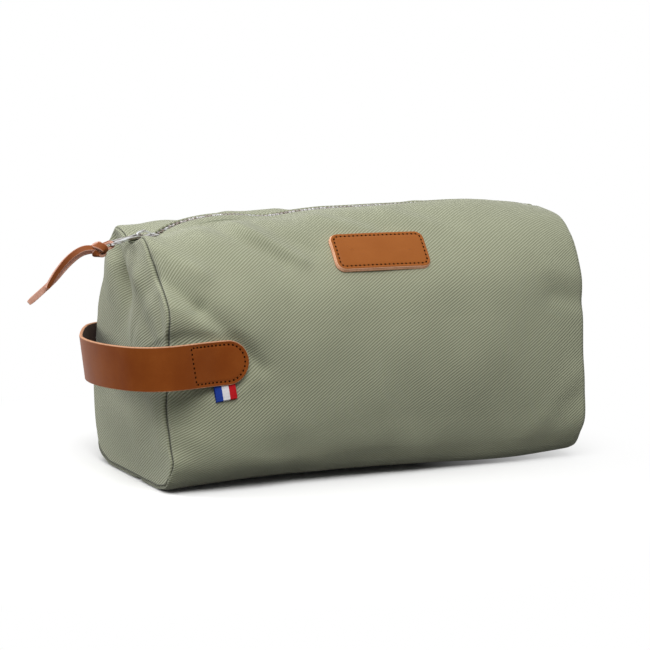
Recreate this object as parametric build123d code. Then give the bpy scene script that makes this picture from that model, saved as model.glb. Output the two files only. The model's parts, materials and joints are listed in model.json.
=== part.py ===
from build123d import *
from math import asin, atan2, copysign, cos, degrees, hypot, pi, radians, sin, tan
import os

# Canvas toiletry bag with a zipped top, a side handle and a laced zip pull.
# Millimetres. +X runs along the zip towards its open end, -Y is the front, +Z is up.
# The origin is on the resting surface, under the middle of the bag.

# Body
LENGTH = 270.0          # gusset seam to gusset seam
FRONT_DEPTH = 68.0      # belly of the front panel, at mid length
BACK_DEPTH = 65.0       # belly of the back panel, at mid length
BELLY_HEIGHT = 75.0     # where the panels stand furthest out
CREST_HEIGHT = 156.2    # top of the panels, at mid length
CREST_FALL = (9.6, 7.2) # how much lower the top is at the left and right ends
BASE_OVERRUN = 1.5      # how far the round outline dips under the flat base that cuts it
BASE_SEAM_Y = -8.0      # where the two panels meet under the bag
BASE_POWER = 6.0        # how square the bottom edges are
FRONT_POWER = 2.4       # how square the front shoulder is
BACK_POWER = 2.2
BASE_DIP_TURN = -80      # the outside starts here, below the base
SIDE_TURNS = (-60, -45, -30, -15, 0, 12, 24, 36, 48, 60, 72)   # places on each side of the outline
STATIONS = (-1.0, -0.8, -0.45, 0.0, 0.45, 0.8, 1.0)
CANVAS = 1.2
LINING = 0.6
LAYER_GAP = 0.05        # between the canvas and its lining

# Tuck in each end, between the two top corners
TUCK_FOOT = 104.0
TUCK_HEAD = 168.0
TUCK_DEPTH = 8.5
TUCK_SPREAD = 2.5       # half width for each millimetre of depth

# Zip: everything on it lies along one arc in the XZ plane
ZIP_LEFT = (-124.0, 141.8)      # middle of the slider when closed
ZIP_RIGHT = (120.0, 149.3)
ZIP_SAG = 6.8
LIP_RISE = 2.7          # canvas surface above the tape, along the mouth
MOUTH_HALF_WIDTH = 6.5
MOUTH_FLOOR = 5.0
TAPE_THICKNESS = 0.6
TAPE_INNER = 2.05
TAPE_OUTER = 13.0
TAPE_ENDS = (-131.0, 130.0)
TAPE_ROOM = 0.05
TOOTH_PITCH = 2.6
TOOTH_LENGTH = 1.0
TOOTH_HEAD = 0.85       # how far a tooth reaches past the middle
CHAIN_HALF_WIDTH = 3.0
CHAIN_HALF_HEIGHT = 1.2
CHAIN_START = -0.6      # first tooth, from the middle of the closed slider
STOP_X = 124.5
STOP_LENGTH = 3.0

# Slider
SLIDER_NOSE = -6.3
SLIDER_TAIL = 6.3
SLIDER_SHOULDER = -3.0
SLIDER_GAP = 1.5        # from the tape's middle to each plate
PLATE = 0.9
FLANGE_GAP = 0.6
FLANGE_INNER = 3.4
BRIDGE_WIDTH = 2.6
BRIDGE_THICKNESS = 1.0
BAR_RADIUS = 0.75
PIVOT_U = -4.1          # the pull's bar, along and above the slider
PIVOT_W = 3.5

# Pull tab
PULL_TILT = 12.0        # the closed pull slopes down past the end of the bag
PULL_LENGTH = 20.4
PULL_THICKNESS = 1.3
PULL_EYE_WIDTH = 6.6
PULL_END_WIDTH = 8.0
EYE_LENGTH = 4.9
EYE_HALF_WIDTH = 1.75
SLOT_START = 16.6
SLOT_END = 18.8
SLOT_WIDTH = 5.0

# Lace
LACE_WIDTH = 3.8
LACE_THICKNESS = 1.3
LACE_DIAMETER = 3.4
LOOP_HALF_HEIGHT = 1.75
KNOT_AT = 26.0          # middle of the knot, along the pull from its pivot
KNOT_SIZE = (9.4, 8.6, 9.6)
LONG_TAIL = [
    (-157.5, 2.2, 137.0), (-163.5, 2.2, 136.2), (-170.5, 2.2, 132.0), (-178.5, 2.2, 124.4),
    (-185.5, 2.2, 117.4), (-191.5, 2.2, 112.8), (-198.0, 2.2, 109.0),
]
SHORT_TAIL = [
    (-157.5, -2.2, 139.8), (-163.0, -2.2, 141.0), (-169.5, -2.2, 138.8), (-176.5, -2.2, 133.6),
    (-183.0, -2.2, 127.6), (-187.2, -2.2, 121.6), (-189.0, -2.2, 116.6),
]

# Handle
STRAP_WIDTH = 26.0
STRAP_THICKNESS = 2.8
STRAP_HEIGHT = 77.3     # middle of the strap's front end above the base
STRAP_TILT = 2.8        # the strap falls from its front end to its back end, in degrees
STRAP_TIP = -87.0
STRAP_LIFT_X = -126.0   # where the strap leaves each panel
STRAP_LOOP = [
    (-147.0, -73.0), (-165.0, -60.0), (-171.5, -36.0), (-168.0, -8.0),
    (-156.0, 20.0), (-147.0, 42.0), (-138.5, 65.5),
]
STRAP_BENDS = [40.0, 22.0, 26.0, 34.0, 50.0, 60.0, 50.0, 8.0, 20.0]
STITCH_LENGTH = 1.9
STITCH_WIDTH = 0.6
STITCH_RISE = 0.3
STITCH_PITCH = 2.9
STITCH_MARGIN = 2.6     # stitch line, in from the leather's edge
STRAP_SEAM_X = -121.0   # the line of stitches across the strap

# Patch
PATCH_SIZE = (61.0, 26.0)
PATCH_CORNER = 5.5
PATCH_THICKNESS = 2.6
PATCH_CENTRE = (4.1, -49.6, 134.7)
PATCH_NORMAL = (0.0, -0.743, 0.669)
PATCH_TURN = 2.5

# Ribbon tab
RIBBON_WIDTH = 13.0
RIBBON_X = -104.0
RIBBON_DROP = 9.0
RIBBON_PLY = 0.5

BIG = 400.0


def zip_centre():
    """Centre and radius of the arc that the zip lies along, from its two ends and its sag."""
    run, rise = ZIP_RIGHT[0] - ZIP_LEFT[0], ZIP_RIGHT[1] - ZIP_LEFT[1]
    chord = hypot(run, rise)
    radius = (chord / 2) ** 2 / (2 * ZIP_SAG) + ZIP_SAG / 2
    back = radius - ZIP_SAG
    mid_x, mid_z = (ZIP_LEFT[0] + ZIP_RIGHT[0]) / 2, (ZIP_LEFT[1] + ZIP_RIGHT[1]) / 2
    return mid_x + back * rise / chord, mid_z - back * run / chord, radius


ARC_X, ARC_Z, ARC_RADIUS = zip_centre()


def zip_angle(x):
    """Angle of the place x along the zip, in degrees about the arc's centre."""
    return degrees(asin((x - ARC_X) / ARC_RADIUS))


def zip_height(x):
    """Height of the tape's middle plane at x."""
    return ARC_Z + ARC_RADIUS * cos(radians(zip_angle(x)))


def zip_frame(angle):
    """Place on the zip: its X runs along the chain and its Z stands off the tape."""
    return Pos(ARC_X, 0, ARC_Z) * Rot(0, angle, 0) * Pos(0, 0, ARC_RADIUS)


def along(length):
    """Angle that a length of chain takes, in degrees."""
    return degrees(length / ARC_RADIUS)


def front_depth(x):
    share = x / (LENGTH / 2)
    return FRONT_DEPTH - 4.0 * share**2 - 1.5 * share


def back_depth(x):
    share = x / (LENGTH / 2)
    return BACK_DEPTH - 3.0 * share**2


def crest_height(x):
    share = abs(x) / (LENGTH / 2)
    return CREST_HEIGHT - CREST_FALL[0 if x < 0 else 1] * share**3


def round_point(x, turn, inset):
    """Y and Z on the round outline at one place along the bag; turn is 0 at the back belly."""
    across, up = cos(turn), sin(turn)
    depth, power = (back_depth(x), BACK_POWER) if across > 0 else (front_depth(x), FRONT_POWER)
    height = crest_height(x) - BELLY_HEIGHT
    if up < 0:
        power, height = BASE_POWER, BELLY_HEIGHT + BASE_OVERRUN
    y = copysign(abs(across) ** (2 / power), across) * (depth - inset)
    return y, BELLY_HEIGHT + copysign(abs(up) ** (2 / power), up) * (height - inset)


def lip_height(x):
    """Height of the canvas surface beside the mouth; the zip draws it down at the ends."""
    return min(zip_height(x) + LIP_RISE, crest_height(x))


def side_point(x, side, turn, inset):
    """Place on one side of the outline; turn is 0 at the belly and 90 at the top."""
    y, z = round_point(x, pi / 2 - side * (pi / 2 - radians(turn)), inset)
    return x, y, z


def base_half_width(x, side, inset):
    """How far the flat base reaches at x before the round side lifts off."""
    depth = back_depth(x) if side > 0 else front_depth(x)
    drop = (BELLY_HEIGHT - inset) / (BELLY_HEIGHT + BASE_OVERRUN - inset)
    return (1 - drop**BASE_POWER) ** (1 / BASE_POWER) * (depth - inset)


def side_curve(x, side, inset, dips=True):
    """One side of the outline, up and over to the centre plane.

    It starts below the base where it is to be cut flat, and otherwise on the base's edge.
    """
    start = (x, side * base_half_width(x, side, inset), inset)
    points = [side_point(x, side, BASE_DIP_TURN, inset) if dips else start]
    points += [side_point(x, side, turn, inset) for turn in SIDE_TURNS]
    points.append((x, 0, lip_height(x) - inset))
    return points


def flat_base(shape, height):
    """The shape without what dips under the base."""
    return shape - Pos(0, 0, height - BIG / 2) * Box(BIG, BIG, BIG)


def bag_solid(inset, end_inset=None):
    """The whole bag's form as one block, with a flat base, its sides drawn in by inset."""
    half = LENGTH / 2 - (inset if end_inset is None else end_inset)
    wires = []
    for share in STATIONS:
        x = share * half
        front, back = (side_curve(x, side, inset) for side in (-1, 1))
        wires.append(Wire([
            Line(back[0], front[0]), Edge.make_spline(front), Edge.make_spline(back[::-1]),
        ]))
    return flat_base(Solid.make_loft(wires), inset)


def panel(side, outer, inner, gap):
    """Front or back wall: one curved sheet from the seam under the base to the mouth's lip."""
    wires = []
    on_ground = outer == 0
    for share in STATIONS:
        x = share * (LENGTH / 2 - inner)
        outside, inside = side_curve(x, side, outer, on_ground), side_curve(x, side, inner, dips=False)
        outside_seam, inside_seam = (x, BASE_SEAM_Y, outside[0][2]), (x, BASE_SEAM_Y, inner)
        wires.append(Wire([
            Line(outside_seam, outside[0]), Edge.make_spline(outside), Line(outside[-1], inside[-1]),
            Edge.make_spline(inside[::-1]), Line(inside[0], inside_seam), Line(inside_seam, outside_seam),
        ]))
    shape = flat_base(Solid.make_loft(wires), outer) if on_ground else Solid.make_loft(wires)
    shape -= Pos(0, 0, BELLY_HEIGHT + BIG / 2) * Box(BIG, 2 * gap, BIG)
    for end in (-1, 1):
        shape -= tuck(end, inner)
    return largest(shape - tape_room())


def tuck(side, grow):
    """The notch that each tucked end makes; grown, it reaches the inside of the folded cloth."""
    slant = hypot(1, TUCK_SPREAD) / TUCK_SPREAD
    outside = 20.0
    rings = []
    for height, depth in ((TUCK_FOOT, 0.1), (TUCK_HEAD, TUCK_DEPTH)):
        spread = TUCK_SPREAD * (depth + outside)
        tip = side * (LENGTH / 2 - depth - grow * slant)
        open_x = side * (LENGTH / 2 + outside - grow * slant)
        corners = [(tip, 0, height), (open_x, spread, height), (open_x, -spread, height)]
        rings.append(Wire.make_polygon(corners))
    return Solid.make_loft(rings, ruled=True)


def gusset(side, outer, inner, inside_form, gap):
    """End wall with its folded tuck, open at the top where the zip runs out."""
    end_x = side * (LENGTH / 2 - outer)
    front, back = (side_curve(end_x, face, outer) for face in (-1, 1))
    outline = Wire([
        Line(back[0], front[0]), Edge.make_spline(front), Edge.make_spline(back[::-1]),
    ])
    sheet = flat_base(extrude(Face(outline), amount=inner - outer, dir=(-side, 0, 0)), outer)
    fold = (tuck(side, inner) - tuck(side, outer)) & inside_form
    sheet = (sheet - tuck(side, outer)) + fold
    floor = zip_height(side * LENGTH / 2) - MOUTH_FLOOR
    sheet -= Pos(side * LENGTH / 2, 0, floor + BIG / 2) * Box(BIG / 4, 2 * gap, BIG)
    return largest(sheet)


def arc_strip(low, high, start_x, end_x, start_y, end_y):
    """Slice of a ring about the zip's centre, between two radii, two X and two Y."""
    first, last = zip_angle(start_x), zip_angle(end_x)
    corners = [
        (Pos(ARC_X, start_y, ARC_Z) * Rot(0, turn, 0) * Pos(0, 0, radius)).position
        for radius in (low, high)
        for turn in (first, (first + last) / 2, last)
    ]
    edges = [
        ThreePointArc(*corners[:3]), Line(corners[2], corners[5]),
        ThreePointArc(corners[5], corners[4], corners[3]), Line(corners[3], corners[0]),
    ]
    return extrude(Face(Wire(edges)), amount=end_y - start_y, dir=(0, 1, 0))


def tape_room():
    """The flat space that the two tapes are sewn into."""
    half = TAPE_THICKNESS / 2 + TAPE_ROOM
    start, end = TAPE_ENDS[0] - TAPE_ROOM, TAPE_ENDS[1] + TAPE_ROOM
    edge = TAPE_OUTER + TAPE_ROOM
    return arc_strip(ARC_RADIUS - half, ARC_RADIUS + half, start, end, -edge, edge)


def largest(shape):
    """The one real wall, without the crumbs that a cut can leave beside it."""
    return max(shape.solids(), key=lambda solid: solid.volume)


def write(shape, name):
    shape.label = name
    export_step(shape, f"parts/{name}.step")


def bag_layers():
    """Canvas and lining, four walls each."""
    under = CANVAS + LAYER_GAP
    for outer, inner, gap, sheet, end in (
        (0.0, CANVAS, MOUTH_HALF_WIDTH, "panel", "gusset"),
        (under, under + LINING, TAPE_OUTER + 0.3, "lining", "lining"),
    ):
        write(panel(-1, outer, inner, gap), f"front_{sheet}")
        write(panel(1, outer, inner, gap), f"back_{sheet}")
        form = bag_solid(inner + LAYER_GAP, outer)
        write(gusset(-1, outer, inner, form, gap), f"left_{end}")
        write(gusset(1, outer, inner, form, gap), f"right_{end}")


def zip_tapes():
    half = TAPE_THICKNESS / 2
    low, high = ARC_RADIUS - half, ARC_RADIUS + half
    write(arc_strip(low, high, *TAPE_ENDS, -TAPE_OUTER, -TAPE_INNER), "zip_tape_front")
    write(arc_strip(low, high, *TAPE_ENDS, TAPE_INNER, TAPE_OUTER), "zip_tape_back")


def clamp(length, near, far):
    """Metal closed over a tape's edge: a block from near to far in Y, slotted for the tape."""
    block = Pos(0, (near + far) / 2, 0) * Box(length, abs(far - near), 2 * CHAIN_HALF_HEIGHT)
    slot = TAPE_THICKNESS + 2 * TAPE_ROOM
    side = copysign(1, far)
    tape_edge = TAPE_INNER - TAPE_ROOM
    return block - Pos(0, side * (tape_edge + BIG / 2), 0) * Box(BIG, BIG, slot)


def zip_chain():
    """Two rows of separate teeth that pass between each other, and the stops at both ends."""
    first = zip_angle(ZIP_LEFT[0]) + along(CHAIN_START)
    last = zip_angle(STOP_X) - along(STOP_LENGTH / 2 + TOOTH_LENGTH)
    count = int((last - first) / along(TOOTH_PITCH))
    for side, name in ((-1, "zip_teeth_front"), (1, "zip_teeth_back")):
        tooth = clamp(TOOTH_LENGTH, -side * TOOTH_HEAD, side * CHAIN_HALF_WIDTH)
        offset = TOOTH_PITCH / 2 if side > 0 else 0.0
        row = [zip_frame(first + along(offset + TOOTH_PITCH * k)) * tooth for k in range(count)]
        write(Compound(children=row), name)
    stops = [
        zip_frame(zip_angle(ZIP_LEFT[0]) + along(-2.2)) * clamp(1.8, side * 1.75, side * 3.3)
        for side in (-1, 1)
    ]
    write(Compound(children=stops), "zip_top_stops")
    block = clamp(STOP_LENGTH, 0, 3.4) + clamp(STOP_LENGTH, 0, -3.4)
    write(zip_frame(zip_angle(STOP_X)) * block, "zip_bottom_stop")


def slider_outline():
    corners = [
        (SLIDER_NOSE, 2.6), (SLIDER_SHOULDER, 5.25), (SLIDER_TAIL, 4.5),
        (SLIDER_TAIL, -4.5), (SLIDER_SHOULDER, -5.25), (SLIDER_NOSE, -2.6),
    ]
    face = make_face(Polyline(*corners, close=True))
    return fillet(face.vertices(), radius=1.0)


def zip_slider():
    """Two plates joined by a diamond, flanges that close the rows, and a bridge for the pull."""
    shape = slider_outline()
    body = None
    for side in (-1, 1):
        plate = Pos(0, 0, side * SLIDER_GAP) * extrude(shape, amount=side * PLATE)
        rim = Pos(0, 0, side * FLANGE_GAP) * extrude(shape, amount=side * (SLIDER_GAP - FLANGE_GAP))
        channel = Box(BIG, 2 * FLANGE_INNER, BIG)
        nose = Pos(SLIDER_SHOULDER - BIG / 2, 0, 0) * Box(BIG, BIG, BIG)
        plate += rim - channel - nose
        body = plate if body is None else body + plate
    diamond = make_face(Polyline((-6.0, 0), (-4.4, 1.4), (-1.7, 0), (-4.4, -1.4), close=True))
    body += Pos(0, 0, -SLIDER_GAP - PLATE / 2) * extrude(diamond, amount=2 * SLIDER_GAP + PLATE)
    top = SLIDER_GAP + PLATE
    line = FilletPolyline(
        (-5.7, top - 0.4), (-5.7, top + 2.6), (-1.0, top + 3.2), (4.2, top - 0.4), radius=1.2
    )
    arch = make_face(offset(line, amount=BRIDGE_THICKNESS / 2, side=Side.BOTH))
    bridge = Pos(0, BRIDGE_WIDTH / 2, 0) * extrude(Plane.XZ * arch, amount=BRIDGE_WIDTH)
    foot = Pos(0, 0, SLIDER_GAP + PLATE / 2 - BIG / 2) * Box(BIG, BIG, BIG)
    body += bridge - foot
    write(zip_frame(zip_angle(ZIP_LEFT[0])) * body, "zip_slider")


def pull_frame():
    """Place of the pull: its X runs from the pivot to the lace end."""
    pivot = (zip_frame(zip_angle(ZIP_LEFT[0])) * Pos(PIVOT_U, 0, PIVOT_W)).position
    return Pos(*pivot) * Rot(0, 180 - PULL_TILT, 0)


def zip_pull():
    """Flat metal tab: a bar under the bridge at one end and a slot for the lace at the other."""
    corners = [
        (0, PULL_EYE_WIDTH / 2), (EYE_LENGTH + 2, PULL_EYE_WIDTH / 2), (SLOT_START - 3, PULL_END_WIDTH / 2),
        (PULL_LENGTH, PULL_END_WIDTH / 2),
    ]
    corners += [(x, -y) for x, y in reversed(corners)]
    face = make_face(Polyline(*corners, close=True))
    face = fillet(face.vertices().filter_by(lambda v: v.X > PULL_LENGTH - 1), radius=2.2)
    face -= Pos(EYE_LENGTH / 2, 0) * RectangleRounded(EYE_LENGTH, 2 * EYE_HALF_WIDTH, 0.6)
    face -= Pos((SLOT_START + SLOT_END) / 2, 0) * RectangleRounded(SLOT_END - SLOT_START, SLOT_WIDTH, 0.9)
    face -= Pos(-BIG / 2, 0) * Rectangle(BIG, BIG)
    plate = Pos(0, 0, -PULL_THICKNESS / 2) * extrude(face, amount=PULL_THICKNESS)
    bar = Rot(90, 0, 0) * Cylinder(BAR_RADIUS, PULL_EYE_WIDTH)
    write(pull_frame() * (plate + bar), "zip_pull")


def lace_tube(route, name):
    """One tail of the lace as a round tube along straight runs and tangent arcs."""
    places = [Vector(*point) for point in route]
    runs = [(b - a).length for a, b in zip(places, places[1:])]
    radii = []
    for k in range(1, len(places) - 1):
        turn = radians((places[k] - places[k - 1]).get_angle(places[k + 1] - places[k]))
        radii.append(0.45 * min(runs[k - 1], runs[k]) / tan(turn / 2))
    line = FilletPolyline(*places, radius=radii)
    start = Plane(origin=line @ 0, z_dir=line % 0)
    write(sweep(start * Circle(LACE_DIAMETER / 2), path=line), name)


def lace():
    """Flat leather lace: a loop through the pull's slot, a knot and two tails."""
    turn_x = (SLOT_START + SLOT_END) / 2
    line = FilletPolyline(
        (KNOT_AT - 3, LOOP_HALF_HEIGHT), (turn_x, LOOP_HALF_HEIGHT),
        (turn_x, -LOOP_HALF_HEIGHT), (KNOT_AT - 3, -LOOP_HALF_HEIGHT), radius=1.0,
    )
    band = make_face(offset(line, amount=LACE_THICKNESS / 2, side=Side.BOTH))
    loop = Pos(0, LACE_WIDTH / 2, 0) * extrude(Plane.XZ * band, amount=LACE_WIDTH)
    write(pull_frame() * loop, "lace_loop")
    knot = scale(Sphere(1), by=tuple(size / 2 for size in KNOT_SIZE))
    write(pull_frame() * Pos(KNOT_AT, 0, 0) * knot, "lace_knot")
    lace_tube(LONG_TAIL, "lace_tail_long")
    lace_tube(SHORT_TAIL, "lace_tail_short")


def stitches(path, count, surface):
    """Short threads along a closed line drawn on a plane, lying on that plane."""
    thread = Pos(0, 0, STITCH_RISE / 2) * Box(STITCH_LENGTH, STITCH_WIDTH, STITCH_RISE)
    row = []
    for k in range(count):
        place, ahead = path @ (k / count), path % (k / count)
        turn = degrees(atan2(ahead.Y, ahead.X))
        row.append(surface * Pos(place.X, place.Y, 0) * Rot(0, 0, turn) * thread)
    return Compound(children=row)


def handle(bag):
    """Leather strap round the left end, its round ends sewn to the front and back panels."""
    front_y = -front_depth(STRAP_TIP) - STRAP_THICKNESS / 2
    back_y = back_depth(STRAP_TIP) + STRAP_THICKNESS / 2
    line = FilletPolyline(
        (STRAP_TIP, front_y), (STRAP_LIFT_X, front_y), *STRAP_LOOP,
        (STRAP_LIFT_X, back_y), (STRAP_TIP, back_y), radius=STRAP_BENDS,
    )
    face = make_face(offset(line, amount=STRAP_THICKNESS / 2, side=Side.BOTH))
    strap = Pos(0, 0, STRAP_HEIGHT - STRAP_WIDTH / 2) * extrude(face, amount=STRAP_WIDTH)
    radius = STRAP_WIDTH / 2
    centre_x = STRAP_TIP - radius
    end = Pos(centre_x + BIG / 2, 0, STRAP_HEIGHT) * Box(BIG, BIG, BIG)
    end -= Pos(centre_x, 0, STRAP_HEIGHT) * Rot(90, 0, 0) * Cylinder(radius, BIG)
    hinge = Pos(0, front_y, STRAP_HEIGHT)
    tilt = hinge * Rot(-STRAP_TILT, 0, 0) * hinge.inverse()
    write(largest(tilt * (strap - end) - bag), "handle_strap")
    inner = radius - STITCH_MARGIN
    arc = ThreePointArc((centre_x, inner), (centre_x + inner, 0), (centre_x, -inner))
    path = Wire([
        Line((STRAP_SEAM_X, inner), (centre_x, inner)),
        arc,
        Line((centre_x, -inner), (STRAP_SEAM_X, -inner)),
        Line((STRAP_SEAM_X, -inner), (STRAP_SEAM_X, inner)),
    ])
    count = round(path.length / STITCH_PITCH)
    for side, y, name in ((-1, front_y, "front"), (1, back_y, "back")):
        face_y = y + side * STRAP_THICKNESS / 2
        surface = Plane(origin=(0, face_y, STRAP_HEIGHT), x_dir=(1, 0, 0), z_dir=(0, side, 0))
        write(stitches(path, count, tilt * Location(surface)), f"handle_stitching_{name}")


def patch(bag):
    """Leather patch sewn on the front shoulder, curved as the bag is."""
    plane = Plane(origin=PATCH_CENTRE, x_dir=(1, 0, 0), z_dir=PATCH_NORMAL)
    plane = plane.rotated((0, 0, PATCH_TURN))
    reach = 12.0
    sheet = bag_solid(-PATCH_THICKNESS)
    blank = Pos(0, 0, -reach) * extrude(RectangleRounded(*PATCH_SIZE, PATCH_CORNER), amount=2 * reach)
    write(largest(((plane * blank) & sheet) - bag), "leather_patch")
    inset = 2 * STITCH_MARGIN
    line = RectangleRounded(PATCH_SIZE[0] - inset, PATCH_SIZE[1] - inset, PATCH_CORNER - STITCH_MARGIN)
    path = line.faces()[0].outer_wire()
    count = round(path.length / STITCH_PITCH)
    pins = []
    for k in range(count):
        place, ahead = path @ (k / count), path % (k / count)
        turn = degrees(atan2(ahead.Y, ahead.X))
        pin = Box(STITCH_LENGTH, STITCH_WIDTH, 2 * reach)
        pins.append(plane * Pos(place.X, place.Y, 0) * Rot(0, 0, turn) * pin)
    film = bag_solid(-PATCH_THICKNESS - STITCH_RISE) - sheet
    threads = [largest(film & pin) for pin in pins]
    write(Compound(children=threads), "patch_stitching")


def ribbon(bag):
    """Short loop of ribbon that hangs from under the strap's front end."""
    top = STRAP_HEIGHT - STRAP_WIDTH / 2
    wall_y = -front_depth(RIBBON_X) - RIBBON_PLY
    line = FilletPolyline(
        (wall_y, top), (wall_y, top - RIBBON_DROP), (wall_y - 1.4, top - RIBBON_DROP), (wall_y - 1.4, top),
        radius=0.65,
    )
    face = make_face(offset(line, amount=RIBBON_PLY / 2, side=Side.BOTH))
    loop = Pos(RIBBON_X - RIBBON_WIDTH / 2, 0, 0) * extrude(Plane.YZ * face, amount=RIBBON_WIDTH)
    trim = Pos(0, 0, top + BIG / 2) * Box(BIG, BIG, BIG)
    write(largest(loop - trim - bag), "ribbon_tab")


def main():
    os.makedirs("parts", exist_ok=True)
    bag_layers()
    zip_tapes()
    zip_chain()
    zip_slider()
    zip_pull()
    lace()
    bag = bag_solid(0)
    handle(bag)
    patch(bag)
    ribbon(bag)


main()
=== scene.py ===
"""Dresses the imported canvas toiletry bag: cloth body, zip, lace, handle strap, patch and ribbon."""

import json
import logging
import math
from dataclasses import dataclass
from enum import Enum
from typing import Any, Callable

import bpy
import numpy as np
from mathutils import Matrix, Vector

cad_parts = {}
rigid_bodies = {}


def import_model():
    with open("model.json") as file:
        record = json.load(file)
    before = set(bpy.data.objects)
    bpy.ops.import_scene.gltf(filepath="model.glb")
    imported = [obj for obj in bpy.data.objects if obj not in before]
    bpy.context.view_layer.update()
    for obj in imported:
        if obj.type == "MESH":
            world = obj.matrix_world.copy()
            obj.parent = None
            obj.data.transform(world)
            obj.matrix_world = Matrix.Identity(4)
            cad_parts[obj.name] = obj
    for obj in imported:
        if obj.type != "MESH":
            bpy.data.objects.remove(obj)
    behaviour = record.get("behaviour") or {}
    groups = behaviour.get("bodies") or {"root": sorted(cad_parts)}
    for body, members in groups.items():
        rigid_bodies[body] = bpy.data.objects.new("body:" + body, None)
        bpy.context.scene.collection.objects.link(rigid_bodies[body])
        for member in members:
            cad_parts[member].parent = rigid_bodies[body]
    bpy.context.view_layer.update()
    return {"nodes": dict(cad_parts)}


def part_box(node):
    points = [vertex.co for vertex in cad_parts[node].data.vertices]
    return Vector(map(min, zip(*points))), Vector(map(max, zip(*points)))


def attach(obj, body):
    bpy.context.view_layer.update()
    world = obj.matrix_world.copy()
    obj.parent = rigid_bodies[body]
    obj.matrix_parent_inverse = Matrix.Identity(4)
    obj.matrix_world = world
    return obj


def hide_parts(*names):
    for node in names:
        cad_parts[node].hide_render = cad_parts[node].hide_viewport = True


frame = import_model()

LOG = logging.getLogger("toiletry_bag")
MM = 0.001
CLOTH_UV = "cloth"
Colour = tuple[float, float, float]
Place = tuple[float, float, float]
Pair = tuple[float, float]


# ---- Shader graphs ----


class Wire:
    """A node's output socket that takes part in Python expressions."""

    def __init__(self, graph: "Graph", socket: bpy.types.NodeSocket) -> None:
        """Wraps one socket.

        Args:
            graph: The graph that new nodes are added to.
            socket: The output socket.
        """
        self.graph = graph
        self.socket = socket

    def _math(self, operation: str, *values: Any) -> "Wire":
        """Adds one Math node.

        Args:
            operation: The node's operation.
            values: Wires or numbers for its inputs, in order.

        Returns:
            The node's output.
        """
        return self.graph.add("ShaderNodeMath", {"operation": operation}, dict(enumerate(values)))

    def __add__(self, other: Any) -> "Wire":
        """self + other."""
        return self._math("ADD", self, other)

    def __radd__(self, other: Any) -> "Wire":
        """other + self."""
        return self._math("ADD", other, self)

    def __sub__(self, other: Any) -> "Wire":
        """self - other."""
        return self._math("SUBTRACT", self, other)

    def __rsub__(self, other: Any) -> "Wire":
        """other - self."""
        return self._math("SUBTRACT", other, self)

    def __mul__(self, other: Any) -> "Wire":
        """self * other."""
        return self._math("MULTIPLY", self, other)

    def __rmul__(self, other: Any) -> "Wire":
        """other * self."""
        return self._math("MULTIPLY", other, self)

    def __truediv__(self, other: Any) -> "Wire":
        """self / other."""
        return self._math("DIVIDE", self, other)

    def sine(self) -> "Wire":
        """Sine of an angle in radians."""
        return self._math("SINE", self)

    def fraction(self) -> "Wire":
        """What is left above the whole number."""
        return self._math("FRACT", self)

    def whole(self) -> "Wire":
        """The whole number below."""
        return self._math("FLOOR", self)

    def size(self) -> "Wire":
        """Absolute value."""
        return self._math("ABSOLUTE", self)

    def most(self, other: Any) -> "Wire":
        """The larger of two values."""
        return self._math("MAXIMUM", self, other)

    def wave(self, period: float) -> "Wire":
        """A wave from 0 to 1 that repeats after the period."""
        return 0.5 + 0.5 * (self * (math.tau / period)).sine()

    def rise(self, low: float, high: float) -> "Wire":
        """Smooth step from 0 at low to 1 at high.

        Args:
            low: Where the step starts.
            high: Where it ends.

        Returns:
            The stepped value.
        """
        sockets = {"Value": self, "From Min": low, "From Max": high}
        return self.graph.add("ShaderNodeMapRange", {"interpolation_type": "SMOOTHSTEP"}, sockets)


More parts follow.
